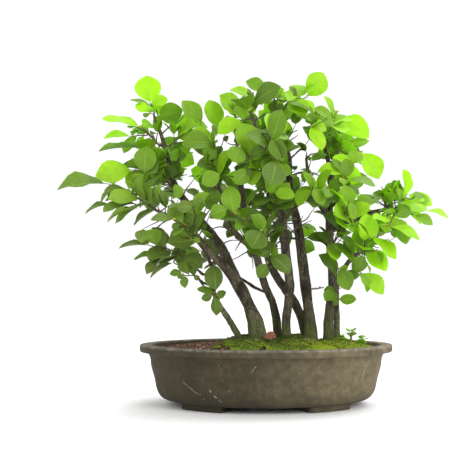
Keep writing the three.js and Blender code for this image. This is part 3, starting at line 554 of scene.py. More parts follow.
def moss_material(look):
    """For the moss cushions, under their tufts."""
    material, nodes, place = new_material("moss_cushion")
    mottle = mottled(nodes, place, 45.0, 0.36, 0.62)
    fine = mottled(nodes, place, 220.0, 0.4, 0.6)
    colour = nodes.mix(mottle["Patches"], look.moss_dark, look.moss)
    colour = nodes.mix(nodes.times(fine["Patches"], 0.5), colour, look.moss_bright)
    brown = nodes.spread(nodes.cloud(place, 60, 5), 0.62, 0.7)
    colour = nodes.mix(nodes.times(brown, 0.8), colour, look.soil)
    normal = nodes.bump(fine["Grain"], 0.9, 0.0012)
    show(nodes, principled(nodes, colour, nodes.between(fine["Grain"], 0.75, 0.95), normal))
    return material


def tuft_material(look):
    """For the moss tufts: dark at the foot, bright at the tip, each with its own tone, and brighter towards
    the right as painted light.
    """
    material, nodes, place = new_material("moss_tufts")
    blade = nodes.split(nodes.blade())
    patches = mottled(nodes, place, 40.0, 0.4, 0.64)
    fresh_and_lit = nodes.plus(nodes.times(blade["Z"], 0.6), -0.1)
    fresh_and_lit = nodes.plus(fresh_and_lit, nodes.times(patches["Patches"], 0.6), clamp=True)
    parts = nodes.split(place)
    ragged = nodes.times(nodes.minus(nodes.cloud(place, 60, 4), 0.5), 0.016)
    mound = nodes.spread(nodes.plus(parts["Z"], ragged), 0.083, 0.091, 0.0, 0.75)
    behind = nodes.spread(parts["Y"], POT_MIDDLE.y - 0.06, POT_MIDDLE.y - 0.01, 0.0, 0.6)
    fresh_and_lit = nodes.minus(fresh_and_lit, behind)
    # Painted light: tufts towards the right are brighter.
    sunny = nodes.spread(parts["X"], POT_MIDDLE.x + 0.01, POT_MIDDLE.x + 0.1, -0.15, 0.7)
    fresh_and_lit = nodes.plus(fresh_and_lit, sunny, clamp=True)
    tip = nodes.mix(fresh_and_lit, look.moss, look.moss_bright)
    tip = nodes.mix(mound, tip, look.moss_dark)
    colour = nodes.mix(nodes.spread(blade["Y"], 0.0, 0.75), look.moss_dark, tip)
    body = principled(nodes, colour, nodes.between(patches["Grain"], 0.55, 0.8))
    show(nodes, glowing(nodes, body, colour, 0.3))
    return material


def bark_material(look):
    material, nodes, place = new_material("bark")
    drawn = nodes.stretched(place, (1, 1, 0.22))
    streaks = mottled(nodes, drawn, 130.0, 0.42, 0.62)
    patches = mottled(nodes, place, 32.0, 0.42, 0.68)
    cracks = nodes.add("TexVoronoi", feature="DISTANCE_TO_EDGE")
    nodes.feed(cracks.inputs["Vector"], drawn)
    cracks.inputs["Scale"].default_value = 300
    crack = nodes.spread(cracks.outputs["Distance"], 0.1, 0.0)
    colour = nodes.mix(streaks["Patches"], look.bark, look.bark_dark)
    light = nodes.times(patches["Patches"], nodes.spread(streaks["Grain"], 0.4, 0.65))
    colour = nodes.mix(nodes.times(light, 0.65), colour, look.bark_light)
    colour = nodes.mix(nodes.times(crack, 0.6), colour, look.bark_dark)
    parts = nodes.split(place)
    ragged = nodes.times(nodes.minus(nodes.cloud(place, 70, 5), 0.5), 0.1)
    low = nodes.spread(nodes.plus(parts["Z"], ragged), 0.125, 0.09)
    green = nodes.times(low, nodes.spread(patches["Grain"], 0.35, 0.6, 0.25, 0.9))
    colour = nodes.mix(green, colour, look.algae)
    lichen = specked(nodes, place, 150.0, 0.3, 0.1)
    colour = nodes.mix(nodes.times(lichen, 0.35), colour, look.bark_light)
    height = nodes.minus(streaks["Grain"], nodes.times(crack, 0.7))
    normal = nodes.bump(height, 0.8, 0.0008)
    roughness = nodes.between(streaks["Grain"], 0.7, 0.95)
    show(nodes, principled(nodes, colour, roughness, normal, Specular_IOR_Level=0.3))
    return material


def twig_material(look):
    """Mottled between young green and brown, with pale lenticels."""
    material, nodes, place = new_material("young_twig")
    mottle = mottled(nodes, place, 160.0, 0.4, 0.62)
    colour = nodes.mix(nodes.times(mottle["Patches"], 0.6), look.shoot, look.bark)
    lenticels = specked(nodes, place, 900.0, 0.25, 0.25)
    colour = nodes.mix(nodes.times(lenticels, 0.5), colour, look.bark_light)
    normal = nodes.bump(mottle["Grain"], 0.4, 0.0003)
    show(nodes, principled(nodes, colour, nodes.between(mottle["Grain"], 0.5, 0.8), normal))
    return material


def leaf_material(name, look, back):
    """A leaf's face or back: veined, with a tone of its own that is partly painted light and shade, letting
    light through.
    """
    material, nodes, place = new_material(name)
    blade = nodes.blade()
    veins = nodes.group(vein_group(), Blade=blade)
    mottle = mottled(nodes, place, 110.0, 0.38, 0.66)
    tone = nodes.split(blade)["Z"]
    # The tone sets painted light and shade as well as growth: low tones take the shade colour, high tones
    # the palest one.
    grown = nodes.mix(nodes.spread(tone, 0.0, 0.45), look.shade, look.full)
    colour = nodes.mix(nodes.spread(tone, 0.35, 1.0), grown, look.fresh_and_lit)
    parts = nodes.split(place)
    shaded = nodes.spread(parts["X"], POT_MIDDLE.x - 0.03, POT_MIDDLE.x - 0.16)
    shaded = nodes.times(shaded, nodes.spread(parts["Z"], 0.34, 0.24, 0.0, 0.6))
    colour = nodes.mix(shaded, colour, look.back)
    if back:
        colour = nodes.mix(0.62, colour, look.back)
    darker = nodes.mix(1.0, colour, (0.78, 0.78, 0.6), "MULTIPLY")
    colour = nodes.mix(nodes.times(mottle["Patches"], 0.45), colour, darker)
    colour = nodes.mix(nodes.times(veins["Veins"], 0.13), colour, look.vein)
    colour = nodes.mix(nodes.times(veins["Midrib"], 0.5), colour, look.vein)
    # Painted highlight: the rim is lightened with the vein colour.
    colour = nodes.mix(nodes.times(veins["Edge"], 0.25), colour, look.vein)
    raised = nodes.plus(nodes.times(veins["Veins"], 0.5), veins["Midrib"])
    grain = nodes.times(mottle["Grain"], 0.3)
    normal = nodes.bump(nodes.maths("ADD" if back else "SUBTRACT", grain, raised), 0.35, 0.0004)
    gloss = (0.62, 0.8) if back else (0.42, 0.6)
    roughness = nodes.between(mottle["Grain"], *gloss)
    body = principled(nodes, colour, roughness, normal, Specular_IOR_Level=0.25 if back else 0.35)
    warm = nodes.mix(1.0, colour, (1.0, 1.0, 0.6), "MULTIPLY")
    show(nodes, glowing(nodes, body, warm, 0.5))
    return material


def leaf_finishes(prefix, look):
    """The two finishes of a leaf: face and back."""
    return [leaf_material(prefix + "_face", look, False), leaf_material(prefix + "_back", look, True)]


def plain_growth_material(name, colour, roughness):
    """For buds, stamens and the dead leaf: mottled, a little rough."""
    material, nodes, place = new_material(name)
    mottle = mottled(nodes, place, 260.0, 0.35, 0.65)
    darker = [0.45 * part for part in colour]
    tinted = nodes.mix(nodes.times(mottle["Patches"], 0.7), colour, darker)
    normal = nodes.bump(mottle["Grain"], 0.5, 0.0003)
    shade = nodes.between(mottle["Grain"], roughness - 0.1, roughness + 0.1)
    show(nodes, principled(nodes, tinted, shade, normal))
    return material


def wire_material(look):
    material, nodes, place = new_material("anodised_wire")
    mottle = mottled(nodes, place, 200.0, 0.4, 0.7)
    dull = [0.4 * part for part in look.wire]
    colour = nodes.mix(mottle["Patches"], look.wire, dull)
    roughness = nodes.between(mottle["Grain"], 0.3, 0.55)
    normal = nodes.bump(mottle["Grain"], 0.2, 0.0002)
    show(nodes, principled(nodes, colour, roughness, normal, Metallic=1.0))
    return material


# ---------------------------------------------------------------- mesh helpers
def placed(name, data):
    """A new object in the scene."""
    thing = bpy.data.objects.new(name, data)
    bpy.context.scene.collection.objects.link(thing)
    return thing


def mesh_from(name, bm):
    """A new mesh from a bmesh, which is freed."""
    mesh = bpy.data.meshes.new(name)
    bm.to_mesh(mesh)
    bm.free()
    return mesh


def bmesh_from(mesh):
    bm = bmesh.new()
    bm.from_mesh(mesh)
    return bm


def finished(name, bm, materials, nodes=(), sharp=50):
    """Makes a named piece from a bmesh: smooth but for its sharp edges, riding on the frame."""
    return finished_mesh(name, mesh_from(name, bm), materials, nodes, sharp)


def finished_mesh(name, mesh, materials, nodes=(), sharp=50):
    """Makes a named piece from a mesh, in place of these frame nodes."""
    mesh.shade_smooth()
    mesh.set_sharp_from_angle(angle=math.radians(sharp))
    mesh.materials.clear()
    for material in materials:
        mesh.materials.append(material)
    piece = placed(name, mesh)
    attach(piece, "root")
    if nodes:
        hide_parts(*nodes)
    return piece


def frame_copy(node):
    """A merged bmesh copy of one of the frame's nodes."""
    bm = bmesh_from(NODES[node].data)
    bmesh.ops.remove_doubles(bm, verts=bm.verts, dist=MERGE_DISTANCE)
    return bm


def evaluated(bm, *modifiers):
    """The mesh that a bmesh becomes under modifiers, each given as (type, settings)."""
    mesh = mesh_from("shaping", bm)
    shaping = placed("shaping", mesh)
    for kind, settings in modifiers:
        modifier = shaping.modifiers.new(kind.title(), kind)
        for name, value in settings.items():
            setattr(modifier, name, value)
    graph = bpy.context.evaluated_depsgraph_get()
    shaped = bpy.data.meshes.new_from_object(shaping.evaluated_get(graph))
    bpy.data.objects.remove(shaping)
    bpy.data.meshes.remove(mesh)
    return shaped


def remeshed(node, grain, passes):
    """A bmesh copy of a frame node, remade at an even grain and smoothed."""
    bm = bmesh_from(
        evaluated(
            frame_copy(node),
            ("REMESH", {"mode": "VOXEL", "voxel_size": grain}),
            ("SMOOTH", {"factor": 0.5, "iterations": passes}),
        )
    )
    bm.normal_update()
    return bm


def template_of(bm):
    """The corners and faces of a small bmesh that is about to be repeated."""
    bm.verts.index_update()
    corners = [vert.co.copy() for vert in bm.verts]
    faces = [([vert.index for vert in face.verts], face.material_index) for face in bm.faces]
    bm.free()
    return corners, faces


def repeated(name, template, placers, materials, nodes=(), sharp=50):
    """One piece that holds a copy of the template for each placer.

    A placer turns a template corner into its place and its blade value: across, along and tone.
    """
    corners, faces = template
    places, blades, shapes, indices = [], [], [], []
    for placer in placers:
        first = len(places)
        for corner in corners:
            place, blade = placer(corner)
            places.append(place)
            blades.extend(blade)
        for face, index in faces:
            shapes.append([first + corner for corner in face])
            indices.append(index)
    mesh = bpy.data.meshes.new(name)
    mesh.from_pydata(places, [], shapes)
    mesh.polygons.foreach_set("material_index", indices)
    blade = mesh.attributes.new("blade", "FLOAT_VECTOR", "POINT")
    blade.data.foreach_set("vector", blades)
    mesh.update()
    return finished_mesh(name, mesh, materials, nodes, sharp)


def tubes(lines):
    """A mesh of round rods along lines of (point, radius) pairs, with closed ends."""
    curve = bpy.data.curves.new("rods", "CURVE")
    curve.dimensions = "3D"
    curve.bevel_depth = 1
    curve.bevel_resolution = 1
    curve.use_fill_caps = True
    curve.resolution_u = 4
    for line in lines:
        points = curve.splines.new("BEZIER").bezier_points
        points.add(len(line) - 1)
        for knot, (point, radius) in zip(points, line):
            knot.co = point
            knot.radius = radius
            knot.handle_left_type = knot.handle_right_type = "AUTO"
    rods = placed("rods", curve)
    graph = bpy.context.evaluated_depsgraph_get()
    mesh = bpy.data.meshes.new_from_object(rods.evaluated_get(graph))
    bpy.data.objects.remove(rods)
    bpy.data.curves.remove(curve)
    return mesh


def nearest_tree(points):
    """A search tree that knows the points by their index."""
    tree = kdtree.KDTree(len(points))
    for index, point in enumerate(points):
        tree.insert(point, index)
    tree.balance()
    return tree


# ---------------------------------------------------------------- pot
def oval_depth(length):
    """Half depth of the pot's oval where its half length is this."""
    slim = (POT_HIGH.x - POT_LOW.x - POT_HIGH.y + POT_LOW.y) / 2
    return length - slim if length > 2 * slim else length / 2


def make_oval(bm):
    """Turns what was spun round Z into the pot's oval, about the pot's middle."""
    for vert in bm.verts:
        length = math.hypot(vert.co.x, vert.co.y)
        if length > 1e-6:
            vert.co.y *= oval_depth(length) / length
    bmesh.ops.translate(bm, verts=bm.verts, vec=(POT_MIDDLE.x, POT_MIDDLE.y, 0))


def spun(points, steps):
    """A closed solid of revolution from (length, height) points, the ends on the axis."""
    bm = bmesh.new()
    verts = [bm.verts.new((length, 0, height)) for length, height in points]
    edges = [bm.edges.new(pair) for pair in zip(verts, verts[1:])]
    bmesh.ops.spin(
        bm, geom=verts + edges, cent=(0, 0, 0), axis=(0, 0, 1), dvec=(0, 0, 0),
        angle=2 * math.pi, steps=steps, use_merge=True, use_duplicate=False,
    )
    bmesh.ops.remove_doubles(bm, verts=bm.verts, dist=1e-5)
    bmesh.ops.recalc_face_normals(bm, faces=bm.faces)
    return bm


def curve_points(start, first, second, end, count):
    """Points along a Bezier curve in the (length, height) plane, without its start."""
    handles = [Vector((*point, 0)) for point in (start, first, second, end)]
    return [(point.x, point.y) for point in geometry.interpolate_bezier(*handles, count + 1)[1:]]


def pot_profile(look):
    """The pot's section, from the middle of its underside round to the middle of its floor."""
    lip = (POT_HIGH.x - POT_LOW.x) / 2
    top = POT_HIGH.z
    body = lip - look.lip_overhang
    base = lip - look.base_tuck
    heel = body - look.heel_tuck
    lip_foot = top - look.lip_height
    inner = lip - look.rim_width
    foot, floor = look.foot_height, look.foot_height + look.floor
    heel_top = foot + look.heel_height
    soft = 0.0018
    wall = body - look.wall
    points = [(0, foot), (base * 0.5, foot), (base, foot)]

    def curve(first, second, end, count):
        points.extend(curve_points(points[-1], first, second, end, count))

    # Outside: the heel, the wall, the hollow under the lip and the lip's band.
    shoulder = heel_top - 0.6 * look.heel_height
    curve(((base + 2 * heel) / 3, foot), (heel - soft, shoulder), (heel, heel_top), 12)
    leaning = body - soft
    curve((heel + 0.002, heel_top + 0.012), (leaning, lip_foot - 0.02), (leaning, lip_foot - 0.012), 8)
    curve((body - soft / 2, lip_foot - 0.005), (body + 0.001, lip_foot), (lip - 0.006, lip_foot), 8)
    curve((lip - soft, lip_foot), (lip, lip_foot + 0.0003), (lip, lip_foot + soft), 5)
    curve((lip + 0.0004, lip_foot + 0.003), (lip + 0.0004, top - 0.004), (lip, top - soft), 4)
    # The rim, from its outer to its inner edge.
    curve((lip, top - 0.0005), (lip - 0.0006, top), (lip - soft, top), 5)
    curve((lip - 0.005, top + 0.0003), (inner + 0.005, top + 0.0003), (inner + soft, top), 4)
    curve((inner + 0.0005, top), (inner, top - 0.0006), (inner, top - soft), 4)
    points.append((inner - soft, lip_foot + soft))
    # Inside: the wall and the floor.
    curve((wall, lip_foot), (wall - soft, lip_foot - 0.004), (wall - soft, lip_foot - 0.012), 5)
    tucked = look.heel_tuck
    curve((wall - tucked, floor + 0.01), (base + tucked, floor), (base - look.floor / 2, floor), 10)
    points += [(base * 0.5, floor), (0, floor)]
    return points


def foot_block(look, turn):
    """A foot: a block spun through part of the oval, its edges rounded."""
    outer = (POT_HIGH.x - POT_LOW.x) / 2 - look.foot_inset
    inner = outer - look.foot_width
    bm = bmesh.new()
    height = look.foot_height + 0.002
    section = [(inner, 0), (outer, 0), (outer + 0.001, height), (inner, height)]
    verts = [bm.verts.new((length, 0, level)) for length, level in section]
    face = bm.faces.new(verts)
    start, end = turn
    bmesh.ops.rotate(bm, verts=verts, cent=(0, 0, 0), matrix=Matrix.Rotation(start, 3, "Z"))
    bmesh.ops.spin(
        bm, geom=[face, *face.edges, *verts], cent=(0, 0, 0), axis=(0, 0, 1), dvec=(0, 0, 0),
        angle=end - start, steps=14, use_merge=False, use_duplicate=False,
    )
    bmesh.ops.remove_doubles(bm, verts=bm.verts, dist=1e-6)
    bmesh.ops.recalc_face_normals(bm, faces=bm.faces)
    sharp = math.radians(50)
    corners = [edge for edge in bm.edges if edge.is_manifold and edge.calc_face_angle(0) > sharp]
    bmesh.ops.bevel(
        bm, geom=corners, offset=FOOT_BEVEL, offset_type="OFFSET", affect="EDGES",
        segments=3, profile=0.5, material=-1,
    )
    make_oval(bm)
    return bm


def drain_places():
    """The middles of the two drainage nets, left and right."""
    nets = BOXES["drainage_mesh_left"], BOXES["drainage_mesh_right"]
    return [(low + high) / 2 for low, high in nets]


class BONSAI_OT_pot(bpy.types.Operator):
    """Build the oval clay pot with its four feet and two drainage holes"""

    bl_idname = "bonsai.pot"
    bl_label = "Pot"

    def execute(self, context):
        look = context.scene.bonsai_pot
        body = spun(pot_profile(look), POT_STEPS)
        make_oval(body)
        bores = bmesh.new()
        for place in drain_places():
            spot = Matrix.Translation((place.x, place.y, look.foot_height + look.floor / 2))
            bmesh.ops.create_cone(
                bores, cap_ends=True, segments=48, depth=4 * look.floor, matrix=spot,
                radius1=look.drain_bore / 2, radius2=look.drain_bore / 2,
            )
        cutter = placed("bores", mesh_from("bores", bores))
        cut = {"object": cutter, "operation": "DIFFERENCE", "solver": "EXACT"}
        bm = bmesh_from(evaluated(body, ("BOOLEAN", cut)))
        bpy.data.objects.remove(cutter)
        for turn in self.foot_turns():
            bm.from_mesh(mesh_from("foot", foot_block(look, turn)))
        for vert in bm.verts:
            if vert.co.z < WANDER_FLOOR:
                continue
            broad, fine = noise.noise_vector(vert.co * 16), noise.noise_vector(vert.co * 90)
            wander = broad * 0.0005 + fine * 0.00012
            vert.co += Vector((wander.x, wander.y, 0.5 * wander.z))
        finished("clay_pot", bm, [clay_material(look)], ["pot"], sharp=40)
        return {"FINISHED"}

    def foot_turns(self):
        """Where each of the four feet starts and ends round the oval."""
        return (
            (FOOT_START, FOOT_END),
            (math.pi - FOOT_END, math.pi - FOOT_START),
            (math.pi + FOOT_START, math.pi + FOOT_END),
            (-FOOT_END, -FOOT_START),
        )


class BONSAI_OT_drainage(bpy.types.Operator):
    """Build the nets over the drainage holes and the wires that pin them"""

    bl_idname = "bonsai.drainage"
    bl_label = "Drainage Nets and Wires"

    def execute(self, context):
        look = context.scene.bonsai_ground
        net_finish = plain_growth_material("net_plastic", look.net, 0.6)
        wire_finish = wire_material(look)
        for side, place in zip(("left", "right"), drain_places()):
            low, high = BOXES["drainage_mesh_" + side]
            bm = bmesh.new()
            bmesh.ops.create_grid(
                bm, x_segments=12, y_segments=12, size=(high.x - low.x) / 2 - 0.0004,
                matrix=Matrix.Translation(place),
            )
            bmesh.ops.wireframe(
                bm, faces=bm.faces, thickness=0.0009, offset=0, use_replace=True, use_boundary=True,
                use_even_offset=True, use_relative_offset=False, use_crease=False, crease_weight=0,
                material_offset=0,
            )
            bmesh.ops.recalc_face_normals(bm, faces=bm.faces)
            finished("net_" + side, bm, [net_finish], ["drainage_mesh_" + side])
            self.wire(side, wire_finish)
        return {"FINISHED"}

    def wire(self, side, finish):
        """A wire over the net, down through the bore and bent out flat under the floor."""
        low, high = BOXES["mesh_wire_" + side]
        middle = (low + high) / 2
        radius = 0.0007
        leg = (high.y - low.y) / 2 - 0.011
        over, under = high.z - radius, low.z + radius
        bend, tail = 0.002, 0.0105
        half = [
            (leg - bend, over),
            (leg, over - bend),
            (leg, under + bend),
            (leg + bend, under),
            (leg + tail, under),
        ]
        route = [(-y, z) for y, z in reversed(half)] + half
        line = [Vector((middle.x, middle.y + y, z)) for y, z in route]
        mesh = tubes([[(point, radius) for point in line]])
        finished_mesh("wire_" + side, mesh, [finish], ["mesh_wire_" + side])


# ---------------------------------------------------------------- ground
def soil_level():
    """Height of the soil's edge, its top and its half length."""
    low, high = BOXES["soil"]
    return high.z - SOIL_DOME, high.z, (high.x - low.x) / 2


def soil_height(x, y):
    """Height of the domed soil at a place."""
    edge, top, half = soil_level()
    share = math.hypot((x - POT_MIDDLE.x) / half, (y - POT_MIDDLE.y) / oval_depth(half))
    share = min(1.0, share)
    return edge + (top - edge) * (1 - share * share)


def on_soil(rng, reach):
    """A random place on the soil, in the pot's oval."""
    half = soil_level()[2]
    angle, share = rng.uniform(0, 2 * math.pi), reach * math.sqrt(rng.random())
    x = POT_MIDDLE.x + share * half * math.cos(angle)
    y = POT_MIDDLE.y + share * oval_depth(half) * math.sin(angle)
    return x, y


def pad_height(x, y):
    """Height of the moss over the soil, from the frame's pads."""
    lift = 0.0
    for pad in MOSS_PADS:
        low, high = BOXES[pad]
        middle, half = (low + high) / 2, (high - low) / 2
        share = math.hypot((x - middle.x) / half.x, (y - middle.y) / half.y)
        if share < 1:
            crown = high.z - soil_height(middle.x, middle.y)
            lift = max(lift, crown * math.sqrt(1 - share * share))
    return lift


def strewn(rng, *parts):
    """A vector whose paired parts are drawn between their limits, and whose plain parts are kept."""
    return Vector([rng.uniform(*part) if isinstance(part, tuple) else part for part in parts])


def lump_template():
    """A coarse ball."""
    bm = bmesh.new()
    bmesh.ops.create_icosphere(bm, subdivisions=1, radius=1)
    return template_of(bm)


def tuft_template():
    """A spike of unit height on its foot."""
    bm = bmesh.new()
    bmesh.ops.create_cone(bm, cap_ends=True, segments=4, radius1=0.3, radius2=0.03, depth=1)
    bmesh.ops.translate(bm, verts=bm.verts, vec=(0, 0, 0.5))
    return template_of(bm)


def lump(rng, place, size, tone):
    """Places a crumb: an uneven ball, turned anyhow."""
    angle = rng.uniform(0, ANY_TURN)
    turn = Matrix.Rotation(angle, 3, strewn(rng, (-1, 1), (-1, 1), 1).normalized())
    scale = Vector([size * rng.uniform(*limits) for limits in ((0.7, 1.2), (0.7, 1.2), (0.55, 0.9))])
    seed = Vector((rng.uniform(0, 90), 0, 0))

    def put(corner):
        uneven = corner * (1 + 0.3 * noise.noise(corner * 1.7 + seed))
        return place + turn @ (uneven * scale), (0, 0.5, tone)

    return put


def tuft(rng, place, outwards, size, tone):
    """Places a moss tuft: a leafy spike that stands up and out."""
    lean = (outwards + strewn(rng, (-0.5, 0.5), (-0.5, 0.5), 0.5)).normalized()
    roll = Matrix.Rotation(rng.uniform(0, ANY_TURN), 3, "Z")
    turn = lean.to_track_quat("Z", "Y").to_matrix() @ roll

    def put(corner):
        return place + turn @ (corner * size), (0, corner.z, tone)

    return put


class BONSAI_OT_soil(bpy.types.Operator):
    """Build the soil with its loose crumbs"""

    bl_idname = "bonsai.soil"
    bl_label = "Soil"

    def execute(self, context):
        look = context.scene.bonsai_ground
        edge, top, half = soil_level()
        floor = BOXES["soil"][0].z
        shares = [step / SOIL_RINGS for step in range(SOIL_RINGS, -1, -1)]
        dome = [(share * half, edge + (top - edge) * (1 - share * share)) for share in shares]
        sides = [
            (0, floor),
            (half - 0.03, floor),
            (half - 0.012, floor + 0.02),
            (half - 0.0005, edge - 0.006),
        ]
        bm = spun(sides + dome, SOIL_STEPS)
        make_oval(bm)
        for vert in bm.verts:
            if vert.co.z > edge - 0.001:
                grains = noise.fractal(vert.co * 120, 0.7, 2.2, 4) * 0.0011
                vert.co.z += min(0.0015, grains + noise.noise(vert.co * 30) * 0.0009)
        finished("soil_bed", bm, [soil_material(look)], ["soil"], sharp=ALL_SMOOTH)
        rng = random.Random(SEEDS["soil"])
        crumbs = []
        for _ in range(CRUMBS):
            x, y = on_soil(rng, 0.985)
            mossy = pad_height(x, y) > 0.0025 or (x > POT_MIDDLE.x - 0.05 and rng.random() < 0.8)
            if mossy:
                continue
            size = look.crumb * rng.uniform(0.25, 0.62)
            place = Vector((x, y, soil_height(x, y) + 0.5 * size))
            crumbs.append(lump(rng, place, size, rng.random()))
        repeated("soil_crumbs", lump_template(), crumbs, [crumb_material(look)], sharp=30)
        return {"FINISHED"}


class BONSAI_OT_moss(bpy.types.Operator):
    """Build the moss cushions and their tufts"""

    bl_idname = "bonsai.moss"
    bl_label = "Moss"

    def execute(self, context):
        look = context.scene.bonsai_ground
        cushion, spikes = moss_material(look), tuft_material(look)
        rng = random.Random(SEEDS["moss"])
        for pad in MOSS_PADS:
            bm = remeshed(pad, 0.0012, 5)
            for vert in bm.verts:
                if vert.normal.z > 0.1:
                    rough = noise.fractal(vert.co * 85, 0.6, 2.1, 4)
                    lumps = noise.noise(vert.co * 42 + Vector((7, 0, 0)))
                    vert.co += vert.normal * (0.0011 * rough + 0.0014 * lumps)
            upper = [face for face in bm.faces if face.normal.z > 0.15]
            places = [(face.calc_center_median(), face.normal.copy()) for face in upper]
            label = pad.removeprefix("moss_pad_")
            finished("cushion_" + label, bm, [cushion], [pad], sharp=ALL_SMOOTH)
            tufts = []
            for place, normal in places:
                if rng.random() > TUFT_SHARE:
                    continue
                size = look.tuft * rng.uniform(0.45, 1.1)
                tufts.append(tuft(rng, place - normal * 0.0003, normal, size, rng.random()))
            repeated("tufts_" + label, tuft_template(), tufts, [spikes], sharp=ALL_SMOOTH)
        self.carpet(look, spikes, rng)
        return {"FINISHED"}

    def carpet(self, look, spikes, rng):
        """Thin moss between and round the cushions, out to the right-hand rim."""
        thin = []
        while len(thin) < CARPET_TUFTS:
            x, y = on_soil(rng, 0.99)
            offset = x - POT_MIDDLE.x
            ragged = -0.052 - 0.03 * noise.noise(Vector((x, y, 0)) * 40)
            if pad_height(x, y) > 0.002 or offset < ragged:
                continue
            patch = noise.noise(Vector((x, y, 3)) * 55)
            if offset < 0.0 and patch < -0.05:
                continue
            place = Vector((x, y, soil_height(x, y) + 0.0006))
            size = look.tuft * rng.uniform(0.5, 1.25)
            thin.append(tuft(rng, place, Vector((0, 0, 1)), size, rng.random()))
        repeated("moss_carpet", tuft_template(), thin, [spikes], sharp=ALL_SMOOTH)
        bits = []
        for _ in range(look.bits):
            x, y = on_soil(rng, 0.96)
            if x < POT_MIDDLE.x - 0.06:
                continue
            size = rng.uniform(0.0006, 0.0018)
            place = Vector((x, y, soil_height(x, y) + pad_height(x, y) + 0.0012))
            bits.append(lump(rng, place, size, rng.uniform(0.1, 1)))
        crumb = bpy.data.materials["soil_crumbs"]
        repeated("moss_bits", lump_template(), bits, [crumb], sharp=30)


# ---------------------------------------------------------------- trunks
class BONSAI_OT_trunks(bpy.types.Operator):
    """Build the trunks and woody limbs, with fissured bark"""

    bl_idname = "bonsai.trunks"
    bl_label = "Trunks"

    def execute(self, context):
        look = context.scene.bonsai_wood
        bark = bark_material(look)
        for trunk in TRUNKS:
            bm = remeshed(trunk, look.grain, 9)
            base = BOXES[trunk][0].z
            for vert in bm.verts:
                height = (vert.co.z - base) / (TREE_TOP - base)
                stretched = Vector((vert.co.x * 260, vert.co.y * 260, vert.co.z * 60))
                ridge = noise.multi_fractal(stretched, 0.9, 2.1, 3) - 1.0
                knots = noise.noise(vert.co * 55)
                depth = look.fissure * max(0.25, 1 - 1.3 * height)
                swell = 0.0012 * noise.noise(vert.co * 27 + Vector((3, 0, 0)))
                rough = depth * (0.55 * ridge + 0.6 * knots)
                vert.co += vert.normal * (0.00022 + swell * (1 - height) + rough)
            label = trunk.removeprefix("trunk_")
            finished("bark_" + label, bm, [bark], [trunk], sharp=ALL_SMOOTH)
        return {"FINISHED"}


# ---------------------------------------------------------------- leafy shoots
def leaves_of(node):
    """The leaves drawn in a shoot of the frame, and all its corners.

    Each leaf has its foot, direction, upper side, length and breadth.
    """
    bm = frame_copy(node)
    bm.verts.ensure_lookup_table()
    places = [vert.co.copy() for vert in bm.verts]
    joined = [{edge.other_vert(vert).index for edge in vert.link_edges} for vert in bm.verts]
    bm.free()
    tree = nearest_tree(places)
    leaves = []
    used = set()
    for one, place in enumerate(places):
        for _, other, gap in tree.find_range(place, CREST_GAP + GAP_LEEWAY):
            if other <= one or one in used or other in used:
                continue
            if abs(gap - LEAF_RISE - LEAF_SINK) > GAP_LEEWAY:
                continue
            leaf = leaf_between(places, one, other, joined[one] & joined[other])
            if leaf:
                leaves.append(leaf)
                used |= {one, other}
    return leaves, places


def leaf_between(places, one, other, ring):
    """The leaf whose two crests are given, from the corners that both of them touch."""
    best, found = 1e9, None
    for upper, lower in ((one, other), (other, one)):
        axis = places[lower].lerp(places[upper], LEAF_SINK / CREST_GAP)
        face = (places[upper] - places[lower]).normalized()
        for tip in ring:
            reach = places[tip] - axis
            length = reach.length / (1 - CREST_SHARE)
            along = reach.normalized()
            across = along.cross(face)
            sides = {share: [] for share in SHOULDER_SHARES}
            for corner in ring - {tip}:
                offset = places[corner] - axis
                for share, widths in sides.items():
                    if abs(CREST_SHARE + offset.dot(along) / length - share) < SHARE_LEEWAY:
                        widths.append(abs(offset.dot(across)))
            matched = sum(map(len, sides.values()))
            lifted = abs(reach.dot(face))
            if matched < 3 or lifted > FLAT_LEEWAY:
                continue
            cost = lifted * 1000 - matched
            if cost < best:
                best = cost
                near, far = (max(sides[share], default=0) for share in SHOULDER_SHARES)
                half = max(far, near * FAR_SHOULDER / NEAR_SHOULDER)
                foot = axis - along * (CREST_SHARE * length)
                found = {
                    "foot": foot, "along": along, "face": face,
                    "length": length, "breadth": 2 * half,
                }
    return found


# The leaf's outline: its half width, as a share of the greatest, at each row of its length.
LEAF_ROWS = (0.0, 0.08, 0.13, 0.21, 0.33, 0.47, 0.62, 0.76, 0.87, 0.945, 1.0)
LEAF_WIDTHS = (0.045, 0.05, 0.26, 0.56, 0.83, 0.98, 1.0, 0.86, 0.6, 0.3, 0.02)


def leaf_template():
    """A leaf's two faces, joined at the edge. X is across from -1 to 1, Y the row, Z the side."""
    bm = bmesh.new()
    rows = len(LEAF_ROWS) - 1
    bmesh.ops.create_grid(bm, x_segments=4, y_segments=rows, size=1)
    for vert in bm.verts:
        vert.co.y = (vert.co.y + 1) / 2 * rows
    copied = bmesh.ops.duplicate(bm, geom=bm.verts[:] + bm.edges[:] + bm.faces[:])["geom"]
    under = [part for part in copied if isinstance(part, bmesh.types.BMFace)]
    below = {vert for face in under for vert in face.verts}
    for vert in bm.verts:
        inside = abs(vert.co.x) < 0.99 and 0.01 < vert.co.y < rows - 0.01
        vert.co.z = 0 if not inside else -1 if vert in below else 1
    bmesh.ops.reverse_faces(bm, faces=under)
    for face in under:
        face.material_index = 1
    bmesh.ops.remove_doubles(bm, verts=bm.verts, dist=1e-4)
    return template_of(bm)


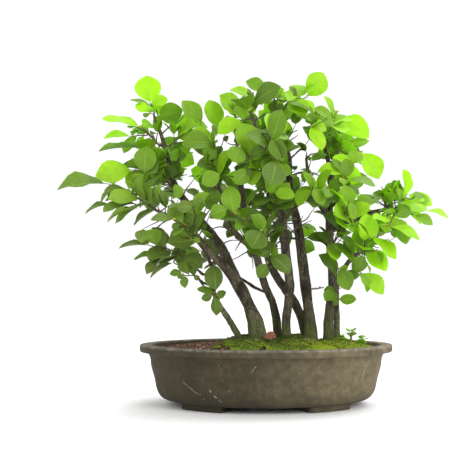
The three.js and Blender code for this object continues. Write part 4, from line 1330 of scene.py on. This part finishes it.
def leaf_placer(rng, leaf, thickness, tone, curl=1.0):
    """Shapes one leaf: folded along its midrib, arched, waved at the edge and a little curled."""
    roll = Matrix.Rotation(rng.uniform(-0.35, 0.35), 3, leaf["along"])
    face = roll @ leaf["face"]
    side = leaf["along"].cross(face).normalized()
    length, half = leaf["length"], 0.56 * leaf["breadth"]
    fold = rng.uniform(0.1, 0.42) * curl
    arch = rng.uniform(0.02, 0.09) * curl
    droop = rng.uniform(0.0, 0.08) * curl
    wave = rng.uniform(0.05, 0.16) * curl
    phase = rng.uniform(0, ANY_TURN)
    bend = rng.uniform(-0.06, 0.06)
    narrow = rng.uniform(0.92, 1.06)

    def put(corner):
        row = min(int(round(corner.y)), len(LEAF_ROWS) - 1)
        share = LEAF_ROWS[row]
        reach = half * narrow * LEAF_WIDTHS[row]
        lift = fold * abs(corner.x) * reach
        ripple = math.sin(9 * share + phase + (2 if corner.x > 0 else 0))
        lift += wave * reach * corner.x * corner.x * ripple
        lift += arch * length * 4 * share * (1 - share) - droop * length * share**3
        lift += corner.z * thickness / 2
        aside = corner.x * reach + bend * length * math.sin(math.pi * share)
        place = leaf["foot"] + leaf["along"] * (share * length) + side * aside + face * lift
        return place, (corner.x, share, tone)

    return put


def twig_lines(leaves, places, wood, radius):
    """The twigs that carry a shoot's leaves.

    They are the shortest tree through the leaves' feet, from the end of the limb.
    """
    start = min(places, key=lambda place: wood.find(place)[2])
    points = [start] + [leaf["foot"] for leaf in leaves]
    parent = {0: None}
    children = {index: [] for index in range(len(points))}
    while len(parent) < len(points):
        _, near, new = min(
            ((points[a] - points[b]).length, a, b)
            for a in parent
            for b in range(len(points))
            if b not in parent
        )
        parent[new] = near
        children[near].append(new)

    def reach(index):
        ways = ((points[index] - points[child]).length + reach(child) for child in children[index])
        return max(ways, default=0)

    lines = []
    whole = max(reach(0), 0.01)

    def follow(line, index):
        ahead = sorted(children[index], key=reach, reverse=True)
        for rank, child in enumerate(ahead):
            if rank == 0:
                line.append(child)
                follow(line, child)
            else:
                side = [index, child]
                lines.append(side)
                follow(side, child)

    first = [0]
    lines.append(first)
    follow(first, 0)
    return [
        [(points[index], radius * (0.45 + 0.55 * reach(index) / whole)) for index in line]
        for line in lines
        if len(line) > 1
    ]


def leaf_tone_and_light(rng, leaf):
    """Fresh and pale high up and far out, most on the right, dark and full low down, inside and on small
    leaves: partly real growth, partly painted light from above and the right and painted shade inside the
    crown.
    """
    middle = leaf["foot"] + leaf["along"] * (0.5 * leaf["length"])
    high = (middle.z - CROWN_FOOT) / (TREE_TOP - CROWN_FOOT)
    out = (middle.x - POT_MIDDLE.x) / 0.2
    out = 1.35 * out if out > 0 else -out * (0.35 + 0.8 * high)
    small = max(0.0, 0.035 - leaf["length"]) / 0.035
    tone = 0.17 + 0.38 * high + 0.42 * out - 0.3 * small + rng.uniform(-0.32, 0.38)
    return min(1.0, max(0.0, tone))


def grown(rng, leaves, thickness):
    """Placers for leaves, each in the tone that goes with its place."""
    return [leaf_placer(rng, leaf, thickness, leaf_tone_and_light(rng, leaf)) for leaf in leaves]


def smaller_leaf(rng, foot, like, share):
    """A smaller leaf from the same bud, turned away from its neighbour."""
    turn = Matrix.Rotation(rng.choice((-1, 1)) * rng.uniform(0.7, 2.3), 3, like["face"])
    tilt = Matrix.Rotation(rng.uniform(-0.6, 0.6), 3, like["along"])
    along = (tilt @ turn @ like["along"] + Vector((0, 0, rng.uniform(-0.4, 0.5)))).normalized()
    side = along.cross(tilt @ like["face"]).normalized()
    length = share * like["length"]
    return {
        "foot": foot, "along": along, "face": side.cross(along).normalized(),
        "length": length, "breadth": length * rng.uniform(0.55, 0.72),
    }


def leaves_on_twigs(rng, lines, like):
    """Small leaves here and there along a shoot's twigs."""
    small = []
    for line in lines:
        for (start, _), (end, _) in zip(line, line[1:]):
            for _ in range(int((end - start).length / 0.03 + rng.random())):
                spot = start.lerp(end, rng.random())
                small.append(smaller_leaf(rng, spot, like, rng.uniform(0.3, 0.62)))
    return small


class BONSAI_OT_shoots(bpy.types.Operator):
    """Build the leafy shoots: green twigs, veined leaves and small buds"""

    bl_idname = "bonsai.shoots"
    bl_label = "Leafy Shoots"

    def execute(self, context):
        look, wood_look = context.scene.bonsai_leaf, context.scene.bonsai_wood
        faces = leaf_finishes("leaf", look)
        twig = twig_material(wood_look)
        bud_finishes = [
            plain_growth_material("bud", look.bud, 0.5),
            plain_growth_material("opening_bud", look.stamen, 0.5),
        ]
        wood = nearest_tree([v.co for trunk in TRUNKS for v in NODES[trunk].data.vertices])
        template = leaf_template()
        for number, node in enumerate(SHOOTS, 1):
            rng = random.Random(SEEDS["shoots"] + number)
            leaves, places = leaves_of(node)
            label = node.removeprefix("leafy_shoot_")
            lines = twig_lines(leaves, places, wood, wood_look.twig)
            small = [
                smaller_leaf(rng, leaf["foot"], leaf, rng.uniform(0.4, 0.8))
                for leaf in leaves
                if rng.random() < (0.75 if leaf["foot"].z > 0.28 else 0.35)
            ]
            small += leaves_on_twigs(rng, lines, leaves[0])
            placers = grown(rng, leaves + small, look.thickness)
            repeated("leaves_" + label, template, placers, faces, [node])
            finished_mesh("twigs_" + label, tubes(lines), [twig], sharp=ALL_SMOOTH)
            self.buds(label, rng, leaves, bud_finishes)
        return {"FINISHED"}

    def buds(self, label, rng, leaves, finishes):
        """Small bud clusters in the forks of some leaves."""
        shut, ripe = [], []
        for leaf in leaves:
            if rng.random() > BUD_SHARE:
                continue
            for _ in range(rng.randint(2, 5)):
                away = strewn(rng, (-1, 1), (-1, 1), (-0.2, 1)).normalized()
                place = leaf["foot"] + away * rng.uniform(0.0016, 0.0034)
                size = rng.uniform(0.0006, 0.0013)
                kind = ripe if rng.random() < RIPE_SHARE else shut
                kind.append(lump(rng, place, size, rng.random()))
        for kind, some, finish in zip(("buds_", "opening_buds_"), (shut, ripe), finishes):
            if some:
                repeated(kind + label, lump_template(), some, [finish], sharp=ALL_SMOOTH)


class BONSAI_OT_spurs(bpy.types.Operator):
    """Build the short leafy spurs on the limbs and the dead stub"""

    bl_idname = "bonsai.spurs"
    bl_label = "Spurs"

    def execute(self, context):
        look, wood_look = context.scene.bonsai_leaf, context.scene.bonsai_wood
        faces = [bpy.data.materials["leaf_face"], bpy.data.materials["leaf_back"]]
        bark, twig = bpy.data.materials["bark"], bpy.data.materials["young_twig"]
        template = leaf_template()
        for number, trunk in enumerate(TRUNKS, 1):
            rng = random.Random(SEEDS["spurs"] + number)
            bm = frame_copy(trunk)
            limbs = [v for v in bm.verts if CROWN_FOOT < v.co.z < TREE_TOP - 0.06]
            spots = [(v.co.copy(), v.normal.copy()) for v in limbs if v.co.z < TREE_TOP - 0.07]
            tips = [
                (v.co.copy(), Vector((0, -0.3, 1)).normalized())
                for v in limbs
                if all(edge.other_vert(v).co.z < v.co.z for edge in v.link_edges)
            ]
            bm.free()
            rng.shuffle(spots)
            lines, leaves = [], []
            for place, outwards in spots[: look.spurs]:
                count = rng.choice((0, 0, 1, 2))
                self.spur(rng, place, outwards, wood_look.twig, count, 1.0, lines, leaves)
            for place, outwards in tips:
                self.spur(rng, place, outwards, wood_look.twig, 4, 0.35, lines, leaves)
            if not leaves:
                continue
            label = trunk.removeprefix("trunk_")
            placers = grown(rng, leaves, look.thickness)
            repeated("spur_leaves_" + label, template, placers, faces)
            finished_mesh("spurs_" + label, tubes(lines), [twig], sharp=ALL_SMOOTH)
        self.stub(bark)
        return {"FINISHED"}

    def spur(self, rng, place, outwards, radius, count, share, lines, leaves):
        """Adds a crooked twig out of a limb, with this count of small leaves at its end."""
        heading = (outwards + strewn(rng, (-0.6, 0.6), (-0.6, 0.6), (-0.1, 0.9))).normalized()
        reach = share * rng.uniform(0.012, 0.042)
        line, spot = [(place - outwards * 0.001, radius * 0.85)], place
        for step in range(3):
            heading = (heading + strewn(rng, *[(-0.35, 0.35)] * 3)).normalized()
            spot = spot + heading * (reach / 3)
            line.append((spot, radius * (0.66 - 0.16 * step)))
        like = {"face": Vector((0, -0.3, 1)).normalized(), "along": heading, "length": 0.034}
        lines.append(line)
        leaves += [smaller_leaf(rng, spot, like, rng.uniform(0.3, 0.72)) for _ in range(count)]

    def stub(self, bark):
        """A dead twig, broken short, between the two trunks on the right."""
        aim = Vector((POT_MIDDLE.x + 0.062, POT_MIDDLE.y, 0.151))
        bark_points = [vert.co for vert in NODES["trunk_apex"].data.vertices]
        start = min(bark_points, key=lambda co: (co - aim).length).copy()
        start.z = aim.z
        knots = [
            (0, 0, 0.0017),
            (0.006, 0.0006, 0.0014),
            (0.011, 0.0012, 0.0012),
            (0.012, 0.004, 0.0008),
        ]
        line = [(start + Vector((x, -0.001, z)), radius) for x, z, radius in knots]
        end = [
            (start + Vector((0.0105, -0.001, 0.001)), 0.0012),
            (start + Vector((0.017, -0.002, 0.002)), 0.0009),
        ]
        finished_mesh("dead_stub", tubes([line, end]), [bark], sharp=ALL_SMOOTH)


# ---------------------------------------------------------------- litter and seedling
class BONSAI_OT_litter(bpy.types.Operator):
    """Build the fallen leaf and the seedling in the moss"""

    bl_idname = "bonsai.litter"
    bl_label = "Fallen Leaf and Seedling"

    def execute(self, context):
        ground, look = context.scene.bonsai_ground, context.scene.bonsai_leaf
        rng = random.Random(SEEDS["litter"])
        dead = plain_growth_material("dead_leaf", ground.dead_leaf, 0.6)
        low, high = BOXES["fallen_leaf"]
        foot = Vector((low.x, high.y - 0.004, low.z + 0.0012))
        tip = Vector((high.x, low.y + 0.004, low.z + 0.004))
        fallen = {
            "foot": foot, "along": (tip - foot).normalized(),
            "face": Vector((0.1, -0.8, 0.7)).normalized(),
            "length": (tip - foot).length, "breadth": 0.011,
        }
        placers = [leaf_placer(rng, fallen, 0.0006, 0.5, curl=1.5)]
        repeated("fallen_leaf_curled", leaf_template(), placers, [dead, dead], ["fallen_leaf"])
        self.seedling(rng, look)
        return {"FINISHED"}

    def seedling(self, rng, look):
        """Three clover-like plants: the frame's own and two lower ones beside it."""
        low, high = BOXES["seedling"]
        middle = (low + high) / 2
        leaves, _ = leaves_of("seedling")
        faces = leaf_finishes("seedling", look)
        placers, stems = [], []
        for offset, sink in (((0, 0), 0.0), ((-0.013, -0.006), 0.006), ((0.014, 0.003), 0.009)):
            at = Vector((middle.x + offset[0] - 0.001, middle.y + offset[1], 0))
            at.z = soil_height(at.x, at.y) + pad_height(at.x, at.y) + 0.0003
            shift = Vector((offset[0], offset[1], -sink))
            for leaf in leaves:
                for turned in range(3):
                    turn = Matrix.Rotation(turned * 2.09 + rng.uniform(-0.3, 0.3), 3, "Z")
                    along = (turn @ leaf["along"] + Vector((0, 0, rng.uniform(-0.1, 0.35)))).normalized()
                    side = along.cross(Vector((0, -0.25, 1))).normalized()
                    length = rng.uniform(0.006, 0.0085)
                    foot = leaf["foot"] + shift + Vector([rng.uniform(-0.0016, 0.0016) for _ in range(3)])
                    foot.z = max(foot.z, at.z + 0.002)
                    blade = {
                        "foot": foot, "along": along, "face": side.cross(along).normalized(),
                        "length": length, "breadth": 0.8 * length,
                    }
                    tone = rng.uniform(0.5, 0.95)
                    placers.append(leaf_placer(rng, blade, look.thickness, tone, curl=0.6))
                    bow = at.lerp(foot, 0.5) + strewn(rng, (-1, 1), (-1, 1), 0) * 0.0006
                    stems.append([(at, 0.0006), (bow, 0.0005), (foot + along * 0.0006, 0.0004)])
        repeated("seedling_leaves", leaf_template(), placers, faces, ["seedling"])
        stalk = plain_growth_material("seedling_stalk", look.back, 0.5)
        finished_mesh("seedling_stalks", tubes(stems), [stalk], sharp=ALL_SMOOTH)


# ---------------------------------------------------------------- stage
class BONSAI_OT_stage(bpy.types.Operator):
    """Set up the pale floor, the soft light and the camera"""

    bl_idname = "bonsai.stage"
    bl_label = "Stage"

    def execute(self, context):
        look = context.scene.bonsai_stage
        scene = context.scene
        bm = bmesh.new()
        bmesh.ops.create_grid(bm, x_segments=1, y_segments=1, size=30)
        mesh = mesh_from("floor", bm)
        material, nodes, place = new_material("pale_floor")
        grain = nodes.between(nodes.cloud(place, 3), 0.6, 0.7)
        show(nodes, principled(nodes, look.floor, grain, Specular_IOR_Level=0.1))
        mesh.materials.append(material)
        floor = placed("floor", mesh)
        self.lights(scene)
        self.camera(scene, look)
        scene.view_settings.view_transform = "Standard"
        return {"FINISHED"}

    def lights(self, scene):
        """A white room that looks brighter than it shines, a soft sun from behind and two soft boxes."""
        world = bpy.data.worlds.new("white_room")
        world.use_nodes = True
        nodes = NodeTree(world.node_tree)
        seen = nodes.add("LightPath").outputs["Is Camera Ray"]
        glow = nodes.add("Background")
        nodes.feed(glow.inputs["Color"], (1, 1, 1))
        nodes.feed(glow.inputs["Strength"], nodes.plus(nodes.times(seen, 0.2), 0.85))
        nodes.feed(nodes.add("OutputWorld").inputs["Surface"], glow.outputs[0])
        scene.world = world
        aim = Vector((0, 0, 0.2))
        for name, kind, place, size, power in (
            ("sun_behind", "SUN", (0.45, 0.5, 1.6), math.radians(50), 2.2),
            ("key", "AREA", (1.1, -1.2, 0.8), 0.8, 17),
            ("fill", "AREA", (-1.3, -1.2, 0.9), 1.2, 7),
        ):
            lamp = bpy.data.lights.new(name, kind)
            setattr(lamp, "angle" if kind == "SUN" else "size", size)
            lamp.energy = power
            light = placed(name, lamp)
            light.location = place
            light.rotation_euler = (aim - Vector(place)).to_track_quat("-Z", "Y").to_euler()

    def camera(self, scene, look):
        data = bpy.data.cameras.new("camera")
        data.lens = look.lens
        data.shift_x, data.shift_y = look.shift_across, look.shift_up
        camera = placed("camera", data)
        camera.location = (POT_MIDDLE.x, POT_MIDDLE.y - look.distance, look.height)
        camera.rotation_euler = (math.pi / 2, 0, 0)
        scene.camera = camera


# ---------------------------------------------------------------- the add-on
STEPS = (
    BONSAI_OT_pot,
    BONSAI_OT_drainage,
    BONSAI_OT_soil,
    BONSAI_OT_moss,
    BONSAI_OT_trunks,
    BONSAI_OT_shoots,
    BONSAI_OT_spurs,
    BONSAI_OT_litter,
    BONSAI_OT_stage,
)
LOOKS = {
    "bonsai_pot": BonsaiPotLook,
    "bonsai_ground": BonsaiGroundLook,
    "bonsai_wood": BonsaiWoodLook,
    "bonsai_leaf": BonsaiLeafLook,
    "bonsai_stage": BonsaiStageLook,
}


class BONSAI_PT_sidebar(bpy.types.Panel):
    """The bonsai's pieces, in the order in which they are built"""

    bl_idname = "BONSAI_PT_sidebar"
    bl_label = "Clump Bonsai"
    bl_space_type = "VIEW_3D"
    bl_region_type = "UI"
    bl_category = "Bonsai"

    def draw(self, context):
        for step in STEPS:
            self.layout.operator(step.bl_idname)
        for name in LOOKS:
            box = self.layout.box()
            look = getattr(context.scene, name)
            for setting in look.__annotations__:
                box.prop(look, setting)


def register():
    for name, look in LOOKS.items():
        bpy.utils.register_class(look)
        setattr(bpy.types.Scene, name, bpy.props.PointerProperty(type=look))
    for step in STEPS:
        bpy.utils.register_class(step)
    bpy.utils.register_class(BONSAI_PT_sidebar)


def unregister():
    bpy.utils.unregister_class(BONSAI_PT_sidebar)
    for step in reversed(STEPS):
        bpy.utils.unregister_class(step)
    for name, look in LOOKS.items():
        delattr(bpy.types.Scene, name)
        bpy.utils.unregister_class(look)


def main():
    register()
    for step in STEPS:
        group, name = step.bl_idname.split(".")
        getattr(getattr(bpy.ops, group), name)()


if __name__ == "__main__":
    main()
